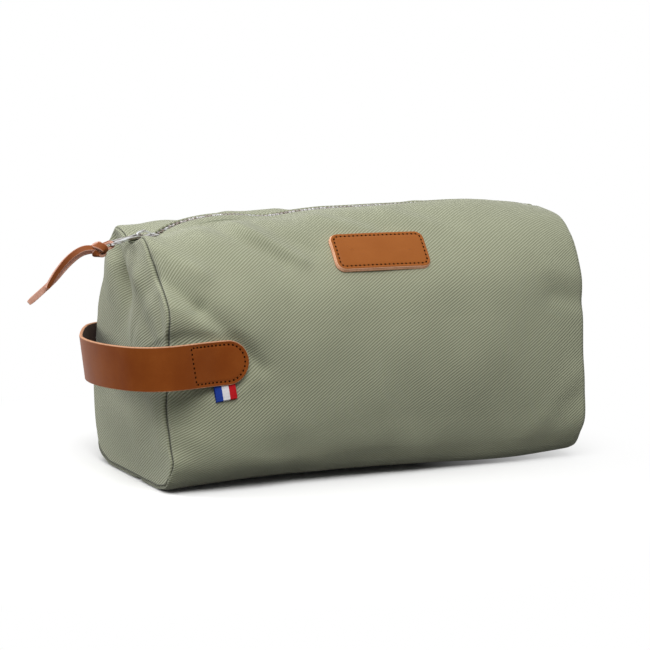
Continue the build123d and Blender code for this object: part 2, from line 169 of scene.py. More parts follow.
class Graph:
    """One material's node tree, built by expressions."""

    def __init__(self, name: str, tree: bpy.types.NodeTree | None = None) -> None:
        """Starts an empty tree.

        Args:
            name: The material's name.
            tree: An existing tree to fill, such as the world's.
        """
        self.material = None
        if tree is None:
            self.material = bpy.data.materials.new(name)
            self.material.use_nodes = True
            tree = self.material.node_tree
        tree.nodes.clear()
        self.tree = tree

    def add(self, kind: str, settings: dict[str, Any] | None = None,
            sockets: dict[int | str, Any] | None = None, out: int | str = 0) -> Wire:
        """Adds any node.

        Args:
            kind: The node's type.
            settings: Its own settings, set before its sockets.
            sockets: Values or wires for its inputs, by name or place.
            out: The output that is wanted.

        Returns:
            That output.
        """
        node = self.tree.nodes.new(kind)
        for key, value in (settings or {}).items():
            setattr(node, key, value)
        for key, value in (sockets or {}).items():
            if isinstance(value, Wire):
                self.tree.links.new(value.socket, node.inputs[key])
            else:
                node.inputs[key].default_value = value
        return Wire(self, node.outputs[out]) if len(node.outputs) else None

    def cloth(self) -> Wire:
        """The cloth's own coordinates, in metres across and up it."""
        return self.add("ShaderNodeUVMap", {"uv_map": CLOTH_UV})

    def solid(self) -> Wire:
        """The piece's own coordinates, in metres."""
        return self.add("ShaderNodeTexCoord", out="Object")

    def wear(self) -> Wire:
        """Painted shade in seam grooves, which leather reads as wear, from 0 to 1."""
        return self.add("ShaderNodeAttribute", {"attribute_name": "wear"}, out="Fac")

    def noise(self, place: Wire, scale: float, detail: float = 2.0) -> Wire:
        """Smooth noise, mostly between 0.3 and 0.7.

        Args:
            place: Coordinates in metres.
            scale: Lumps per metre.
            detail: Finer layers.

        Returns:
            The noise value.
        """
        sockets = {"Vector": place, "Scale": scale, "Detail": detail}
        return self.add("ShaderNodeTexNoise", {}, sockets)

    def split(self, place: Wire) -> list[Wire]:
        """The three parts of a vector.

        Args:
            place: The vector.

        Returns:
            X, Y and Z.
        """
        first = self.add("ShaderNodeSeparateXYZ", {}, {0: place})
        return [Wire(self, socket) for socket in first.socket.node.outputs]

    def join(self, *parts: Any) -> Wire:
        """A vector from three values."""
        return self.add("ShaderNodeCombineXYZ", {}, dict(enumerate(parts)))

    def blend(self, amount: Any, first: Any, second: Any) -> Wire:
        """Colour between two colours.

        Args:
            amount: 0 gives the first and 1 the second.
            first: Colour or wire.
            second: Colour or wire.

        Returns:
            The mixed colour.
        """
        def ready(value: Any) -> Any:
            """A colour with its alpha, or the wire itself."""
            return value if isinstance(value, Wire) else (*value, 1.0)

        sockets = {0: amount, 6: ready(first), 7: ready(second)}
        return self.add("ShaderNodeMix", {"data_type": "RGBA"}, sockets, out=2)

    def scaled(self, colour: Any, amount: Wire) -> Wire:
        """A colour times a value.

        Args:
            colour: Colour or wire.
            amount: The value.

        Returns:
            The scaled colour.
        """
        base = colour if isinstance(colour, Wire) else self.blend(0.0, colour, colour)
        return self.add("ShaderNodeVectorMath", {"operation": "SCALE"}, {0: base, "Scale": amount})

    def bump(self, height: Wire, distance: float, strength: float = 1.0) -> Wire:
        """Normal of a height field.

        Args:
            height: The height, 0 to 1.
            distance: Its real depth in metres.
            strength: Share that shows.

        Returns:
            The normal.
        """
        sockets = {"Height": height, "Distance": distance, "Strength": strength}
        return self.add("ShaderNodeBump", {}, sockets)

    def surface(self, sockets: dict[str, Any]) -> bpy.types.Material:
        """Ends the graph in one Principled shader.

        Args:
            sockets: Its inputs.

        Returns:
            The finished material.
        """
        return self.output(self.add("ShaderNodeBsdfPrincipled", {}, sockets))

    def output(self, shader: Wire, kind: str = "ShaderNodeOutputMaterial") -> bpy.types.Material:
        """Links a shader to the output.

        Args:
            shader: The shader.
            kind: The output node's type.

        Returns:
            The finished material, or None for the world.
        """
        self.add(kind, {}, {"Surface": shader})
        return self.material


# ---- Finishes ----


@dataclass(frozen=True)
class TwillCanvas:
    """Cotton twill: raised slanting wales of short yarn floats."""

    name: str = "sage_twill"
    # The groove colour is darker than the ridge's: painted shade in the weave's grooves.
    ridge: Colour = (0.374, 0.388, 0.276)
    groove: Colour = (0.240, 0.252, 0.162)
    pitch: float = 1.5 * MM
    slope: float = 33.0
    float_length: float = 1.3 * MM
    float_shift: float = 0.38
    yarn_depth: float = 0.22
    relief: float = 0.38 * MM
    # How much the painted shade darkens the cloth in a seam's groove.
    worn_shade: float = 0.68

    def build(self) -> bpy.types.Material:
        """Makes the material.

        Returns:
            The material, which reads the UV map of the cloth in metres.
        """
        graph = Graph(self.name)
        place = graph.cloth()
        wander = graph.noise(place, 50.0, 1.0) * 0.5
        across, up, _ = graph.split(place)
        lean = math.radians(self.slope)
        row = (up * math.cos(lean) - across * math.sin(lean)) / self.pitch + wander
        run = (across * math.cos(lean) + up * math.sin(lean)) / self.float_length
        wale = row.wave(1.0)
        step = (run + row.whole() * self.float_shift).fraction()
        yarn = 1.0 - ((step - 0.5).size() * 2.0).rise(0.55, 1.0) * self.yarn_depth
        height = wale.rise(0.05, 0.85) * yarn
        streak = graph.noise(graph.join(run * 0.06, row * 0.55, 0.0), 3.0, 2.0)
        fuzz = graph.noise(place, 4200.0, 2.0)
        cloud = graph.noise(place, 22.0, 3.0)
        tone = 0.80 + cloud * 0.16 + streak * 0.10 + fuzz * 0.10
        # Painted shade: darker in the wales' grooves, and darker still in the seam grooves that the
        # mesh marks.
        wear = graph.wear()
        colour = graph.blend(height * 0.9, self.groove, self.ridge)
        colour = graph.scaled(colour, tone - wear * self.worn_shade)
        relief = height * 0.9 + fuzz * 0.12
        return graph.surface({
            "Base Color": colour,
            "Roughness": 0.86 - height * 0.06,
            "Normal": graph.bump(relief, self.relief, 0.85),
            "Specular IOR Level": 0.18,
            "Sheen Weight": 0.22,
            "Sheen Roughness": 0.55,
        })


@dataclass(frozen=True)
class PlainWeave:
    """Flat woven cloth, for the lining and the zip's tapes."""

    name: str
    warp: Colour
    weft: Colour
    pitch: float = 0.7 * MM

    def build(self) -> bpy.types.Material:
        """Makes the material.

        Returns:
            The material, which reads the UV map of the cloth in metres.
        """
        graph = Graph(self.name)
        place = graph.cloth()
        across, up, _ = graph.split(place)
        turn = math.tau / self.pitch
        over = (across * turn).sine() * (up * turn).sine()
        height = 0.5 + 0.5 * over
        cloud = graph.noise(place, 60.0, 2.0)
        colour = graph.scaled(graph.blend(height, self.weft, self.warp), 0.85 + cloud * 0.3)
        return graph.surface({
            "Base Color": colour,
            "Roughness": 0.80 + height * 0.1,
            "Normal": graph.bump(height, 0.12 * MM, 0.7),
            "Specular IOR Level": 0.1,
        })


@dataclass(frozen=True)
class SmoothLeather:
    """Vegetable-tanned leather with a satin grain side."""

    name: str = "cognac_leather"
    light: Colour = (0.262, 0.070, 0.011)
    dark: Colour = (0.190, 0.042, 0.005)
    roughness: float = 0.42

    def build(self) -> bpy.types.Material:
        """Makes the material.

        Returns:
            The material, on the piece's own coordinates.
        """
        graph = Graph(self.name)
        place = graph.solid()
        cloud = graph.noise(place, 45.0, 4.0)
        pore = graph.add("ShaderNodeTexVoronoi", {}, {"Vector": place, "Scale": 2600.0})
        grain = graph.noise(place, 1500.0, 3.0)
        wear = graph.wear()
        tone = cloud.rise(0.25, 0.78) * 0.8 + wear * 0.5
        colour = graph.scaled(graph.blend(tone, self.dark, self.light), 0.90 + grain * 0.2)
        relief = grain * 0.6 + pore.rise(0.0, 0.5) * 0.5
        return graph.surface({
            "Base Color": colour,
            "Roughness": self.roughness - 0.06 + cloud * 0.12,
            "Normal": graph.bump(relief, 0.05 * MM, 0.5),
            "Specular IOR Level": 0.09,
        })


@dataclass(frozen=True)
class RawLeather:
    """Cut edge or flesh side: pale, fibrous and matt."""

    name: str = "raw_leather"
    pale: Colour = (0.60, 0.33, 0.205)
    deep: Colour = (0.36, 0.165, 0.085)

    def build(self) -> bpy.types.Material:
        """Makes the material.

        Returns:
            The material, on the piece's own coordinates.
        """
        graph = Graph(self.name)
        place = graph.solid()
        fibre = graph.noise(place, 1800.0, 4.0)
        patch = graph.noise(place, 160.0, 3.0)
        tone = fibre.rise(0.35, 0.7) * 0.6 + patch.rise(0.4, 0.7) * 0.3
        return graph.surface({
            "Base Color": graph.blend(tone, self.pale, self.deep),
            "Roughness": 0.78 + fibre * 0.15,
            "Normal": graph.bump(fibre, 0.12 * MM, 0.7),
            "Specular IOR Level": 0.1,
        })


@dataclass(frozen=True)
class BrightNickel:
    """Plated zip metal with a fine brushed grain."""

    name: str = "bright_nickel"
    bright: Colour = (0.76, 0.78, 0.81)
    worn: Colour = (0.24, 0.20, 0.17)

    def build(self) -> bpy.types.Material:
        """Makes the material.

        Returns:
            The material, on the piece's own coordinates.
        """
        graph = Graph(self.name)
        place = graph.solid()
        along, across, up = graph.split(place)
        brush = graph.noise(graph.join(along * 0.15, across * 4.0, up * 4.0), 1500.0, 2.0)
        stain = graph.noise(graph.join(along * 0.45, across, up * 1.6), 330.0, 1.0)
        return graph.surface({
            "Base Color": graph.blend(stain.rise(0.36, 0.62), self.bright, self.worn),
            "Metallic": 1.0,
            "Roughness": 0.22 + brush * 0.20,
            "Normal": graph.bump(brush, 0.02 * MM, 0.35),
        })


@dataclass(frozen=True)
class WaxedThread:
    """Twisted sewing thread, with painted shade in its turns."""

    name: str = "waxed_thread"
    light: Colour = (0.280, 0.085, 0.016)
    dark: Colour = (0.200, 0.055, 0.010)
    twist: float = 0.45 * MM

    def build(self) -> bpy.types.Material:
        """Makes the material.

        Returns:
            The material, on the piece's own coordinates.
        """
        graph = Graph(self.name)
        place = graph.solid()
        along, across, up = graph.split(place)
        twist = (along + across * 0.8 + up * 0.8).wave(self.twist)
        return graph.surface({
            "Base Color": graph.blend(twist, self.dark, self.light),
            "Roughness": 0.55 + twist * 0.1,
            "Normal": graph.bump(twist, 0.05 * MM, 0.6),
            "Specular IOR Level": 0.05,
        })


@dataclass(frozen=True)
class NeedleHole:
    """Painted shade: the near-black inside of a needle hole in leather, which lies in shadow."""

    name: str = "needle_hole"
    rim: Colour = (0.030, 0.007, 0.002)
    deep: Colour = (0.008, 0.003, 0.002)

    def build(self) -> bpy.types.Material:
        """Makes the material.

        Returns:
            The material, on the piece's own coordinates.
        """
        graph = Graph(self.name)
        place = graph.solid()
        speck = graph.noise(place, 2400.0, 2.0)
        return graph.surface({
            "Base Color": graph.blend(speck.rise(0.4, 0.7), self.deep, self.rim),
            "Roughness": 0.85 + speck * 0.1,
            "Specular IOR Level": 0.0,
        })


@dataclass(frozen=True)
class StripedRibbon:
    """Ribbed ribbon woven with three plain stripes."""

    name: str = "striped_ribbon"
    width: float = 13.0 * MM
    stripes: tuple[Colour, Colour, Colour] = (
        (0.012, 0.046, 0.310), (0.800, 0.790, 0.820), (0.520, 0.006, 0.012))
    rib: float = 0.55 * MM
    yarn: float = 0.4 * MM
    blur: float = 0.12 * MM

    def build(self) -> bpy.types.Material:
        """Makes the material.

        Returns:
            The material, which reads the ribbon's UV map in metres.
        """
        graph = Graph(self.name)
        place = graph.cloth()
        across, along, _ = graph.split(place)
        edge = self.width / 6.0
        colour = self.stripes[0]
        for line, stripe in ((-edge, self.stripes[1]), (edge, self.stripes[2])):
            colour = graph.blend(across.rise(line - self.blur, line + self.blur), colour, stripe)
        height = along.wave(self.rib) * 0.8 + across.wave(self.yarn) * 0.2
        return graph.surface({
            # Painted shade: the colour is darker in the ribs' hollows.
            "Base Color": graph.scaled(colour, 0.78 + height * 0.3),
            "Roughness": 0.62 + height * 0.1,
            "Normal": graph.bump(height, 0.15 * MM, 0.8),
            "Specular IOR Level": 0.15,
        })


class Finish(Enum):
    """The finishes of the bag's pieces, each with the record's slot that it belongs to."""

    CANVAS = ("canvas", TwillCanvas())
    END_CANVAS = ("canvas", TwillCanvas(
        "sage_twill_end", slope=31.0, yarn_depth=0.1, relief=0.28 * MM))
    LINING = ("lining", PlainWeave("lining_weave", (0.42, 0.40, 0.33), (0.30, 0.28, 0.22)))
    TAPE = ("tape", PlainWeave(
        "tape_weave", (0.30, 0.32, 0.235), (0.20, 0.215, 0.15), pitch=0.9 * MM))
    LEATHER = ("leather", SmoothLeather())
    PATCH = ("leather", SmoothLeather(
        "patch_leather", (0.310, 0.099, 0.021), (0.270, 0.081, 0.015)))
    RAW = ("leather", RawLeather())
    # The patch's cut edge: pale leather, made brighter still with painted light on its downward face.
    PLY_EDGE = ("leather", RawLeather("patch_edge", (0.92, 0.52, 0.34), (0.62, 0.29, 0.16)))
    # The strap's flesh side is dark partly in its own colour and partly from painted shade on the
    # inner side.
    FLESH = ("leather", RawLeather(
        "strap_flesh_side", (0.085, 0.056, 0.048), (0.045, 0.030, 0.026)))
    LACE = ("lace", SmoothLeather(
        "lace_leather", (0.300, 0.092, 0.030), (0.170, 0.045, 0.012), roughness=0.45))
    LACE_RAW = ("lace", RawLeather("lace_flesh", (0.62, 0.36, 0.28), (0.42, 0.20, 0.13)))
    METAL = ("zip_metal", BrightNickel())
    TEETH = ("zip_metal", BrightNickel("tooth_metal", (0.40, 0.40, 0.40), (0.15, 0.12, 0.10)))
    THREAD = ("thread", WaxedThread())
    HOLE = ("thread", NeedleHole())
    RIBBON = ("ribbon", StripedRibbon())

    @property
    def slot(self) -> str:
        """The record's material slot."""
        return self.value[0]


class Wardrobe:
    """Makes each finish once and hands it out."""

    def __init__(self) -> None:
        """Starts with nothing made."""
        self.made: dict[Finish, bpy.types.Material] = {}

    def get(self, finish: Finish) -> bpy.types.Material:
        """The material of a finish.

        Args:
            finish: The finish.

        Returns:
            Its material.
        """
        if finish not in self.made:
            self.made[finish] = finish.value[1].build()
        return self.made[finish]


# ---- Geometry helpers ----


def through(knots: np.ndarray, values: np.ndarray, at: np.ndarray) -> np.ndarray:
    """Smooth curve through values, in cubic pieces.

    Args:
        knots: Growing places of the values.
        values: One row for each knot.
        at: Places that are wanted.

    Returns:
        One row for each place.
    """
    knots = np.asarray(knots, float)
    values = np.asarray(values, float)
    slopes = np.gradient(values, knots, axis=0)
    left = np.clip(np.searchsorted(knots, at, side="right") - 1, 0, len(knots) - 2)
    width = knots[left + 1] - knots[left]
    share = (at - knots[left]) / width
    shape = (-1,) + (1,) * (values.ndim - 1)
    share, width = share.reshape(shape), width.reshape(shape)
    cube, square = share**3, share**2
    return ((2 * cube - 3 * square + 1) * values[left]
            + (cube - 2 * square + share) * width * slopes[left]
            + (3 * square - 2 * cube) * values[left + 1]
            + (cube - square) * width * slopes[left + 1])


def unit(vectors: np.ndarray) -> np.ndarray:
    """Vectors scaled to length 1, along the last axis."""
    return vectors / np.maximum(np.linalg.norm(vectors, axis=-1, keepdims=True), 1e-12)


def distances(line: np.ndarray) -> np.ndarray:
    """Distance along a line at each of its points, from 0."""
    return np.concatenate([[0.0], np.cumsum(np.linalg.norm(np.diff(line, axis=0), axis=1))])


def bell(values: np.ndarray, width: float) -> np.ndarray:
    """A bell curve of height 1 at 0, which is down to 0.37 at the width."""
    return np.exp(-((values / width) ** 2))


def step(values: np.ndarray, low: float, high: float) -> np.ndarray:
    """Smooth step from 0 at low to 1 at high.

    Args:
        values: The values.
        low: Where the step starts.
        high: Where it ends.

    Returns:
        The stepped values.
    """
    share = np.clip((values - low) / (high - low), 0.0, 1.0)
    return share * share * (3 - 2 * share)


def spread(line: np.ndarray, count: int) -> np.ndarray:
    """A closed line's points, set evenly along it.

    Args:
        line: Points round the line.
        count: How many are wanted.

    Returns:
        The evenly spaced points.
    """
    ring = np.vstack([line, line[:1]])
    walk = distances(ring)
    marks = np.linspace(0.0, walk[-1], count + 1)[:-1]
    return np.stack([np.interp(marks, walk, ring[:, k]) for k in range(ring.shape[1])], axis=-1)


def grid_normals(points: np.ndarray, flip: bool) -> np.ndarray:
    """Unit normals of a grid of points.

    Args:
        points: Rows by columns by 3.
        flip: Turns the normals over.

    Returns:
        Rows by columns by 3.
    """
    normals = unit(np.cross(np.gradient(points, axis=0), np.gradient(points, axis=1)))
    return -normals if flip else normals


def linked(name: str, data: bpy.types.ID) -> bpy.types.Object:
    """A new object in the scene, at the origin."""
    item = bpy.data.objects.new(name, data)
    bpy.context.scene.collection.objects.link(item)
    return item


class Piece:
    """A mesh under construction, which ends as one finished object on a body."""

    def __init__(self, name: str) -> None:
        """Starts an empty mesh.

        Args:
            name: The finished object's name.
        """
        self.name = name
        self.points: list[np.ndarray] = []
        self.uvs: list[np.ndarray] = []
        self.wears: list[np.ndarray] = []
        self.faces: list[tuple[int, ...]] = []
        self.fills: list[int] = []
        self.count = 0

    def add_points(self, points: np.ndarray, uv: np.ndarray | None = None,
                   wear: np.ndarray | None = None) -> np.ndarray:
        """Adds points in any arrangement.

        Args:
            points: Points, with 3 as the last axis.
            uv: Their cloth coordinates in metres.
            wear: Painted shade in seam grooves, which leather reads as wear, 0 to 1.

        Returns:
            Their indices, in the same arrangement.
        """
        flat = points.reshape(-1, 3)
        self.points.append(flat)
        self.uvs.append(np.zeros((len(flat), 2)) if uv is None else uv.reshape(-1, 2))
        self.wears.append(np.zeros(len(flat)) if wear is None else wear.reshape(-1))
        index = np.arange(self.count, self.count + len(flat)).reshape(points.shape[:-1])
        self.count += len(flat)
        return index

    def add_faces(self, index: np.ndarray, flip: bool = False, fill: int = 0,
                  close_rows: bool = False, close_columns: bool = False) -> None:
        """Joins a grid of indices with quads.

        Args:
            index: Rows by columns.
            flip: Turns the faces over.
            fill: The material's place.
            close_rows: Joins the last row to the first.
            close_columns: Joins the last column to the first.
        """
        if close_rows:
            index = np.vstack([index, index[:1]])
        if close_columns:
            index = np.hstack([index, index[:, :1]])
        corners = [index[:-1, :-1], index[1:, :-1], index[1:, 1:], index[:-1, 1:]]
        if flip:
            corners.reverse()
        quads = np.stack([part.ravel() for part in corners], axis=1)
        self.faces += [tuple(quad) for quad in quads.tolist()]
        self.fills += [fill] * len(quads)

    def add_fan(self, ring: np.ndarray, centre: int, flip: bool = False, fill: int = 0) -> None:
        """Closes a ring with triangles to one point.

        Args:
            ring: Indices round the ring.
            centre: Index of the point.
            flip: Turns the faces over.
            fill: The material's place.
        """
        for first, second in zip(ring.tolist(), np.roll(ring, -1).tolist()):
            self.faces.append((second, first, centre) if flip else (first, second, centre))
            self.fills.append(fill)

    def add_cap(self, ring: np.ndarray, points: np.ndarray, flip: bool = False,
                fill: int = 0) -> None:
        """Closes a ring with triangles to its middle.

        Args:
            ring: Indices round the ring.
            points: The ring's points.
            flip: Turns the faces over.
            fill: The material's place.
        """
        centre = self.add_points(points.mean(axis=0)[None])
        self.add_fan(ring, int(centre[0]), flip, fill)

    def add_lump(self, rings: np.ndarray, flip: bool) -> None:
        """Adds a closed solid as a skin over rings.

        Args:
            rings: Rings by points by 3.
            flip: Turns its faces over.
        """
        index = self.add_points(rings)
        self.add_faces(index, flip, close_columns=True)
        self.add_cap(index[0], rings[0], not flip)
        self.add_cap(index[-1], rings[-1], flip)

    def add_sheet(self, outer: np.ndarray, inner: np.ndarray, uv: np.ndarray, flip: bool,
                  wear: np.ndarray | None = None, inner_fill: int = 0, rim_fill: int = 0) -> None:
        """Adds a closed sheet between two grids.

        Args:
            outer: The outer side, rows by columns by 3.
            inner: The inner side, in the same arrangement.
            uv: Cloth coordinates in metres.
            flip: Turns the outer faces over.
            wear: Painted shade in each place's seam groove, which leather reads as wear.
            inner_fill: The inner side's material.
            rim_fill: The rim's material.
        """
        out = self.add_points(outer, uv, wear)
        back = self.add_points(inner, uv, wear)
        self.add_faces(out, flip)
        self.add_faces(back, not flip, inner_fill)
        for line_out, line_in, turn in (
            (out[0], back[0], True), (out[-1], back[-1], False),
            (out[:, 0], back[:, 0], False), (out[:, -1], back[:, -1], True),
        ):
            self.add_faces(np.stack([line_out, line_in]), flip != turn, rim_fill)

    def build(self, materials: list[bpy.types.Material], smooth: bool = True) -> bpy.types.Object:
        """Makes the Blender object.

        Args:
            materials: Its materials, by the faces' fill numbers.
            smooth: Shades the faces smoothly.

        Returns:
            The object, at the origin.
        """
        mesh = bpy.data.meshes.new(self.name)
        points = np.concatenate(self.points)
        mesh.from_pydata(points.tolist(), [], self.faces)
        mesh.polygons.foreach_set("material_index", self.fills)
        mesh.polygons.foreach_set("use_smooth", [smooth] * len(self.faces))
        layer = mesh.uv_layers.new(name=CLOTH_UV)
        corners = np.zeros(len(mesh.loops), np.int32)
        mesh.loops.foreach_get("vertex_index", corners)
        layer.data.foreach_set("uv", np.concatenate(self.uvs)[corners].ravel())
        # This attribute carries the painted shade of the seam grooves.
        attribute = mesh.attributes.new("wear", "FLOAT", "POINT")
        attribute.data.foreach_set("value", np.concatenate(self.wears))
        for material in materials:
            mesh.materials.append(material)
        mesh.validate()
        mesh.update()
        return linked(self.name, mesh)


EDGE_TURNS = np.radians([22.5, 45.0, 67.5])


def band(piece: Piece, path: np.ndarray, side: np.ndarray, face: np.ndarray, width: np.ndarray,
         thickness: float, corner: float, rows: int, closed: bool = False,
         fills: tuple[int, int, int] = (0, 1, 1),
         dip: Callable[[np.ndarray, np.ndarray], np.ndarray] | None = None) -> None:
    """Adds a flat strap along a path, with rounded edges.

    Args:
        piece: The mesh that takes it.
        path: Middle line, N by 3.
        side: Unit vectors across the width, N by 3.
        face: Unit vectors out of the good side, N by 3.
        width: Full width at each place, N.
        thickness: Leather thickness.
        corner: Radius of the edges.
        rows: Places across each flat side.
        closed: Joins the end to the start.
        fills: Materials of the good side, the edges and the back.
        dip: Height that is added to the good side, from the place along and across.
    """
    half, reach, along = thickness / 2, width / 2, distances(path)
    lanes: list[tuple[np.ndarray, np.ndarray | float, int]] = []
    for way, fill in ((1, fills[0]), (-1, fills[2])):
        for share in np.linspace(-1.0, 1.0, rows):
            place = way * share * np.maximum(reach - corner, 0.0)
            lowered = dip(along, place) if dip and way > 0 else 0.0
            lanes.append((place, way * half + lowered, fill))
        for turns, level in ((EDGE_TURNS, way), (EDGE_TURNS[::-1], -way)):
            lanes += [(way * (reach - corner + corner * math.sin(turn)),
                       level * (half - corner + corner * math.cos(turn)), fills[1])
                      for turn in turns]
    grid = np.stack([path + side * np.reshape(place, (-1, 1)) + face * np.reshape(rise, (-1, 1))
                     for place, rise, _ in lanes], axis=1)
    index = piece.add_points(grid)
    for lane, (_, _, fill) in enumerate(lanes):
        after = (lane + 1) % len(lanes)
        shared = fill if fill == lanes[after][2] else fills[1]
        piece.add_faces(index[:, [lane, after]], close_rows=closed, fill=shared)
    if not closed:
        for end, flip in ((0, True), (-1, False)):
            piece.add_cap(index[end], grid[end], flip, fills[1])


class Repeater:
    """Sets copies of one small shape along a path, by Geometry Nodes."""

    SOCKETS = (("Path", "Geometry", "INPUT"), ("Shape", "Object", "INPUT"),
               ("Pitch", "Float", "INPUT"), ("Finish", "Material", "INPUT"),
               ("Copies", "Geometry", "OUTPUT"))
    NODES = {
        "source": "NodeGroupInput", "line": "GeometryNodeMeshToCurve",
        "spaced": "GeometryNodeResampleCurve", "ahead": "GeometryNodeInputTangent",
        "upward": "GeometryNodeInputNamedAttribute", "turned": "FunctionNodeAxesToRotation",
        "shape": "GeometryNodeObjectInfo", "placed": "GeometryNodeInstanceOnPoints",
        "real": "GeometryNodeRealizeInstances", "dressed": "GeometryNodeSetMaterial",
        "result": "NodeGroupOutput",
    }
    LINKS = (
        ("source.Path", "line.Mesh"), ("line.Curve", "spaced.Curve"),
        ("source.Pitch", "spaced.Length"), ("spaced.Curve", "placed.Points"),
        ("source.Shape", "shape.Object"), ("shape.Geometry", "placed.Instance"),
        ("upward.Attribute", "turned.Primary Axis"), ("ahead.Tangent", "turned.Secondary Axis"),
        ("turned.Rotation", "placed.Rotation"), ("placed.Instances", "real.Geometry"),
        ("real.Geometry", "dressed.Geometry"), ("source.Finish", "dressed.Material"),
        ("dressed.Geometry", "result.Copies"),
    )

    def __init__(self) -> None:
        """Builds the node tree."""
        self.tree = bpy.data.node_groups.new("copies_along_path", "GeometryNodeTree")
        self.ids: dict[str, str] = {}
        for name, kind, way in self.SOCKETS:
            made = self.tree.interface.new_socket(
                name, in_out=way, socket_type=f"NodeSocket{kind}")
            self.ids[name] = made.identifier
        nodes = {name: self.tree.nodes.new(kind) for name, kind in self.NODES.items()}
        nodes["spaced"].mode = "LENGTH"
        nodes["upward"].data_type = "FLOAT_VECTOR"
        nodes["upward"].inputs["Name"].default_value = "up"
        nodes["turned"].primary_axis, nodes["turned"].secondary_axis = "Z", "X"
        nodes["shape"].transform_space = "ORIGINAL"
        for start, end in self.LINKS:
            (first, output), (second, entry) = start.split("."), end.split(".")
            self.tree.links.new(nodes[first].outputs[output], nodes[second].inputs[entry])

    def run(self, name: str, path: np.ndarray, up: np.ndarray, shape: bpy.types.Object,
            pitch: float, finish: bpy.types.Material, closed: bool = False) -> bpy.types.Object:
        """Makes the copies as one plain mesh.

        Args:
            name: The result's name.
            path: Points of the path, N by 3.
            up: The copies' own Z at each point, N by 3.
            shape: The shape, along X at the origin; it is used up.
            pitch: Distance from copy to copy.
            finish: The copies' material.
            closed: Joins the path's end to its start.

        Returns:
            The mesh object.
        """
        count = len(path)
        edges = [(k, k + 1) for k in range(count - 1)] + ([(count - 1, 0)] if closed else [])
        mesh = bpy.data.meshes.new(name)
        mesh.from_pydata(path.tolist(), edges, [])
        mesh.attributes.new("up", "FLOAT_VECTOR", "POINT").data.foreach_set("vector", up.ravel())
        item = linked(name, mesh)
        copies = item.modifiers.new("copies", "NODES")
        copies.node_group = self.tree
        for key, value in (("Shape", shape), ("Pitch", pitch), ("Finish", finish)):
            copies[self.ids[key]] = value
        bpy.context.view_layer.update()
        ready = item.evaluated_get(bpy.context.evaluated_depsgraph_get())
        result = bpy.data.meshes.new_from_object(ready)
        item.modifiers.remove(copies)
        item.data = result
        result.name = name
        bpy.data.meshes.remove(mesh)
        bpy.data.objects.remove(shape)
        return item


def settle(item: bpy.types.Object, body: str, finish: Finish, *nodes: str) -> bpy.types.Object:
    """Puts a finished piece on its body.

    Args:
        item: The piece.
        body: The body that it moves with.
        finish: The piece's finish, which is not used.
        nodes: CAD nodes that it stands for.

    Returns:
        The piece.
    """
    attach(item, body)
    if nodes:
        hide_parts(*nodes)
    LOG.info("%s rides on %s, %d faces", item.name, body, len(item.data.polygons))
    return item


# ---- Stage ----


@dataclass(frozen=True)
class Lamp:
    """One soft rectangular lamp, in metres and watts."""

    name: str
    place: Place
    aim: Place
    size: Pair
    power: float

    def build(self) -> None:
        """Sets the lamp up and points it at its aim."""
        data = bpy.data.lights.new(self.name, "AREA")
        data.shape = "RECTANGLE"
        data.size, data.size_y = self.size
        data.energy = self.power
        item = linked(self.name, data)
        item.location = self.place
        beam = Vector(self.aim) - Vector(self.place)
        item.rotation_euler = beam.to_track_quat("-Z", "Y").to_euler()


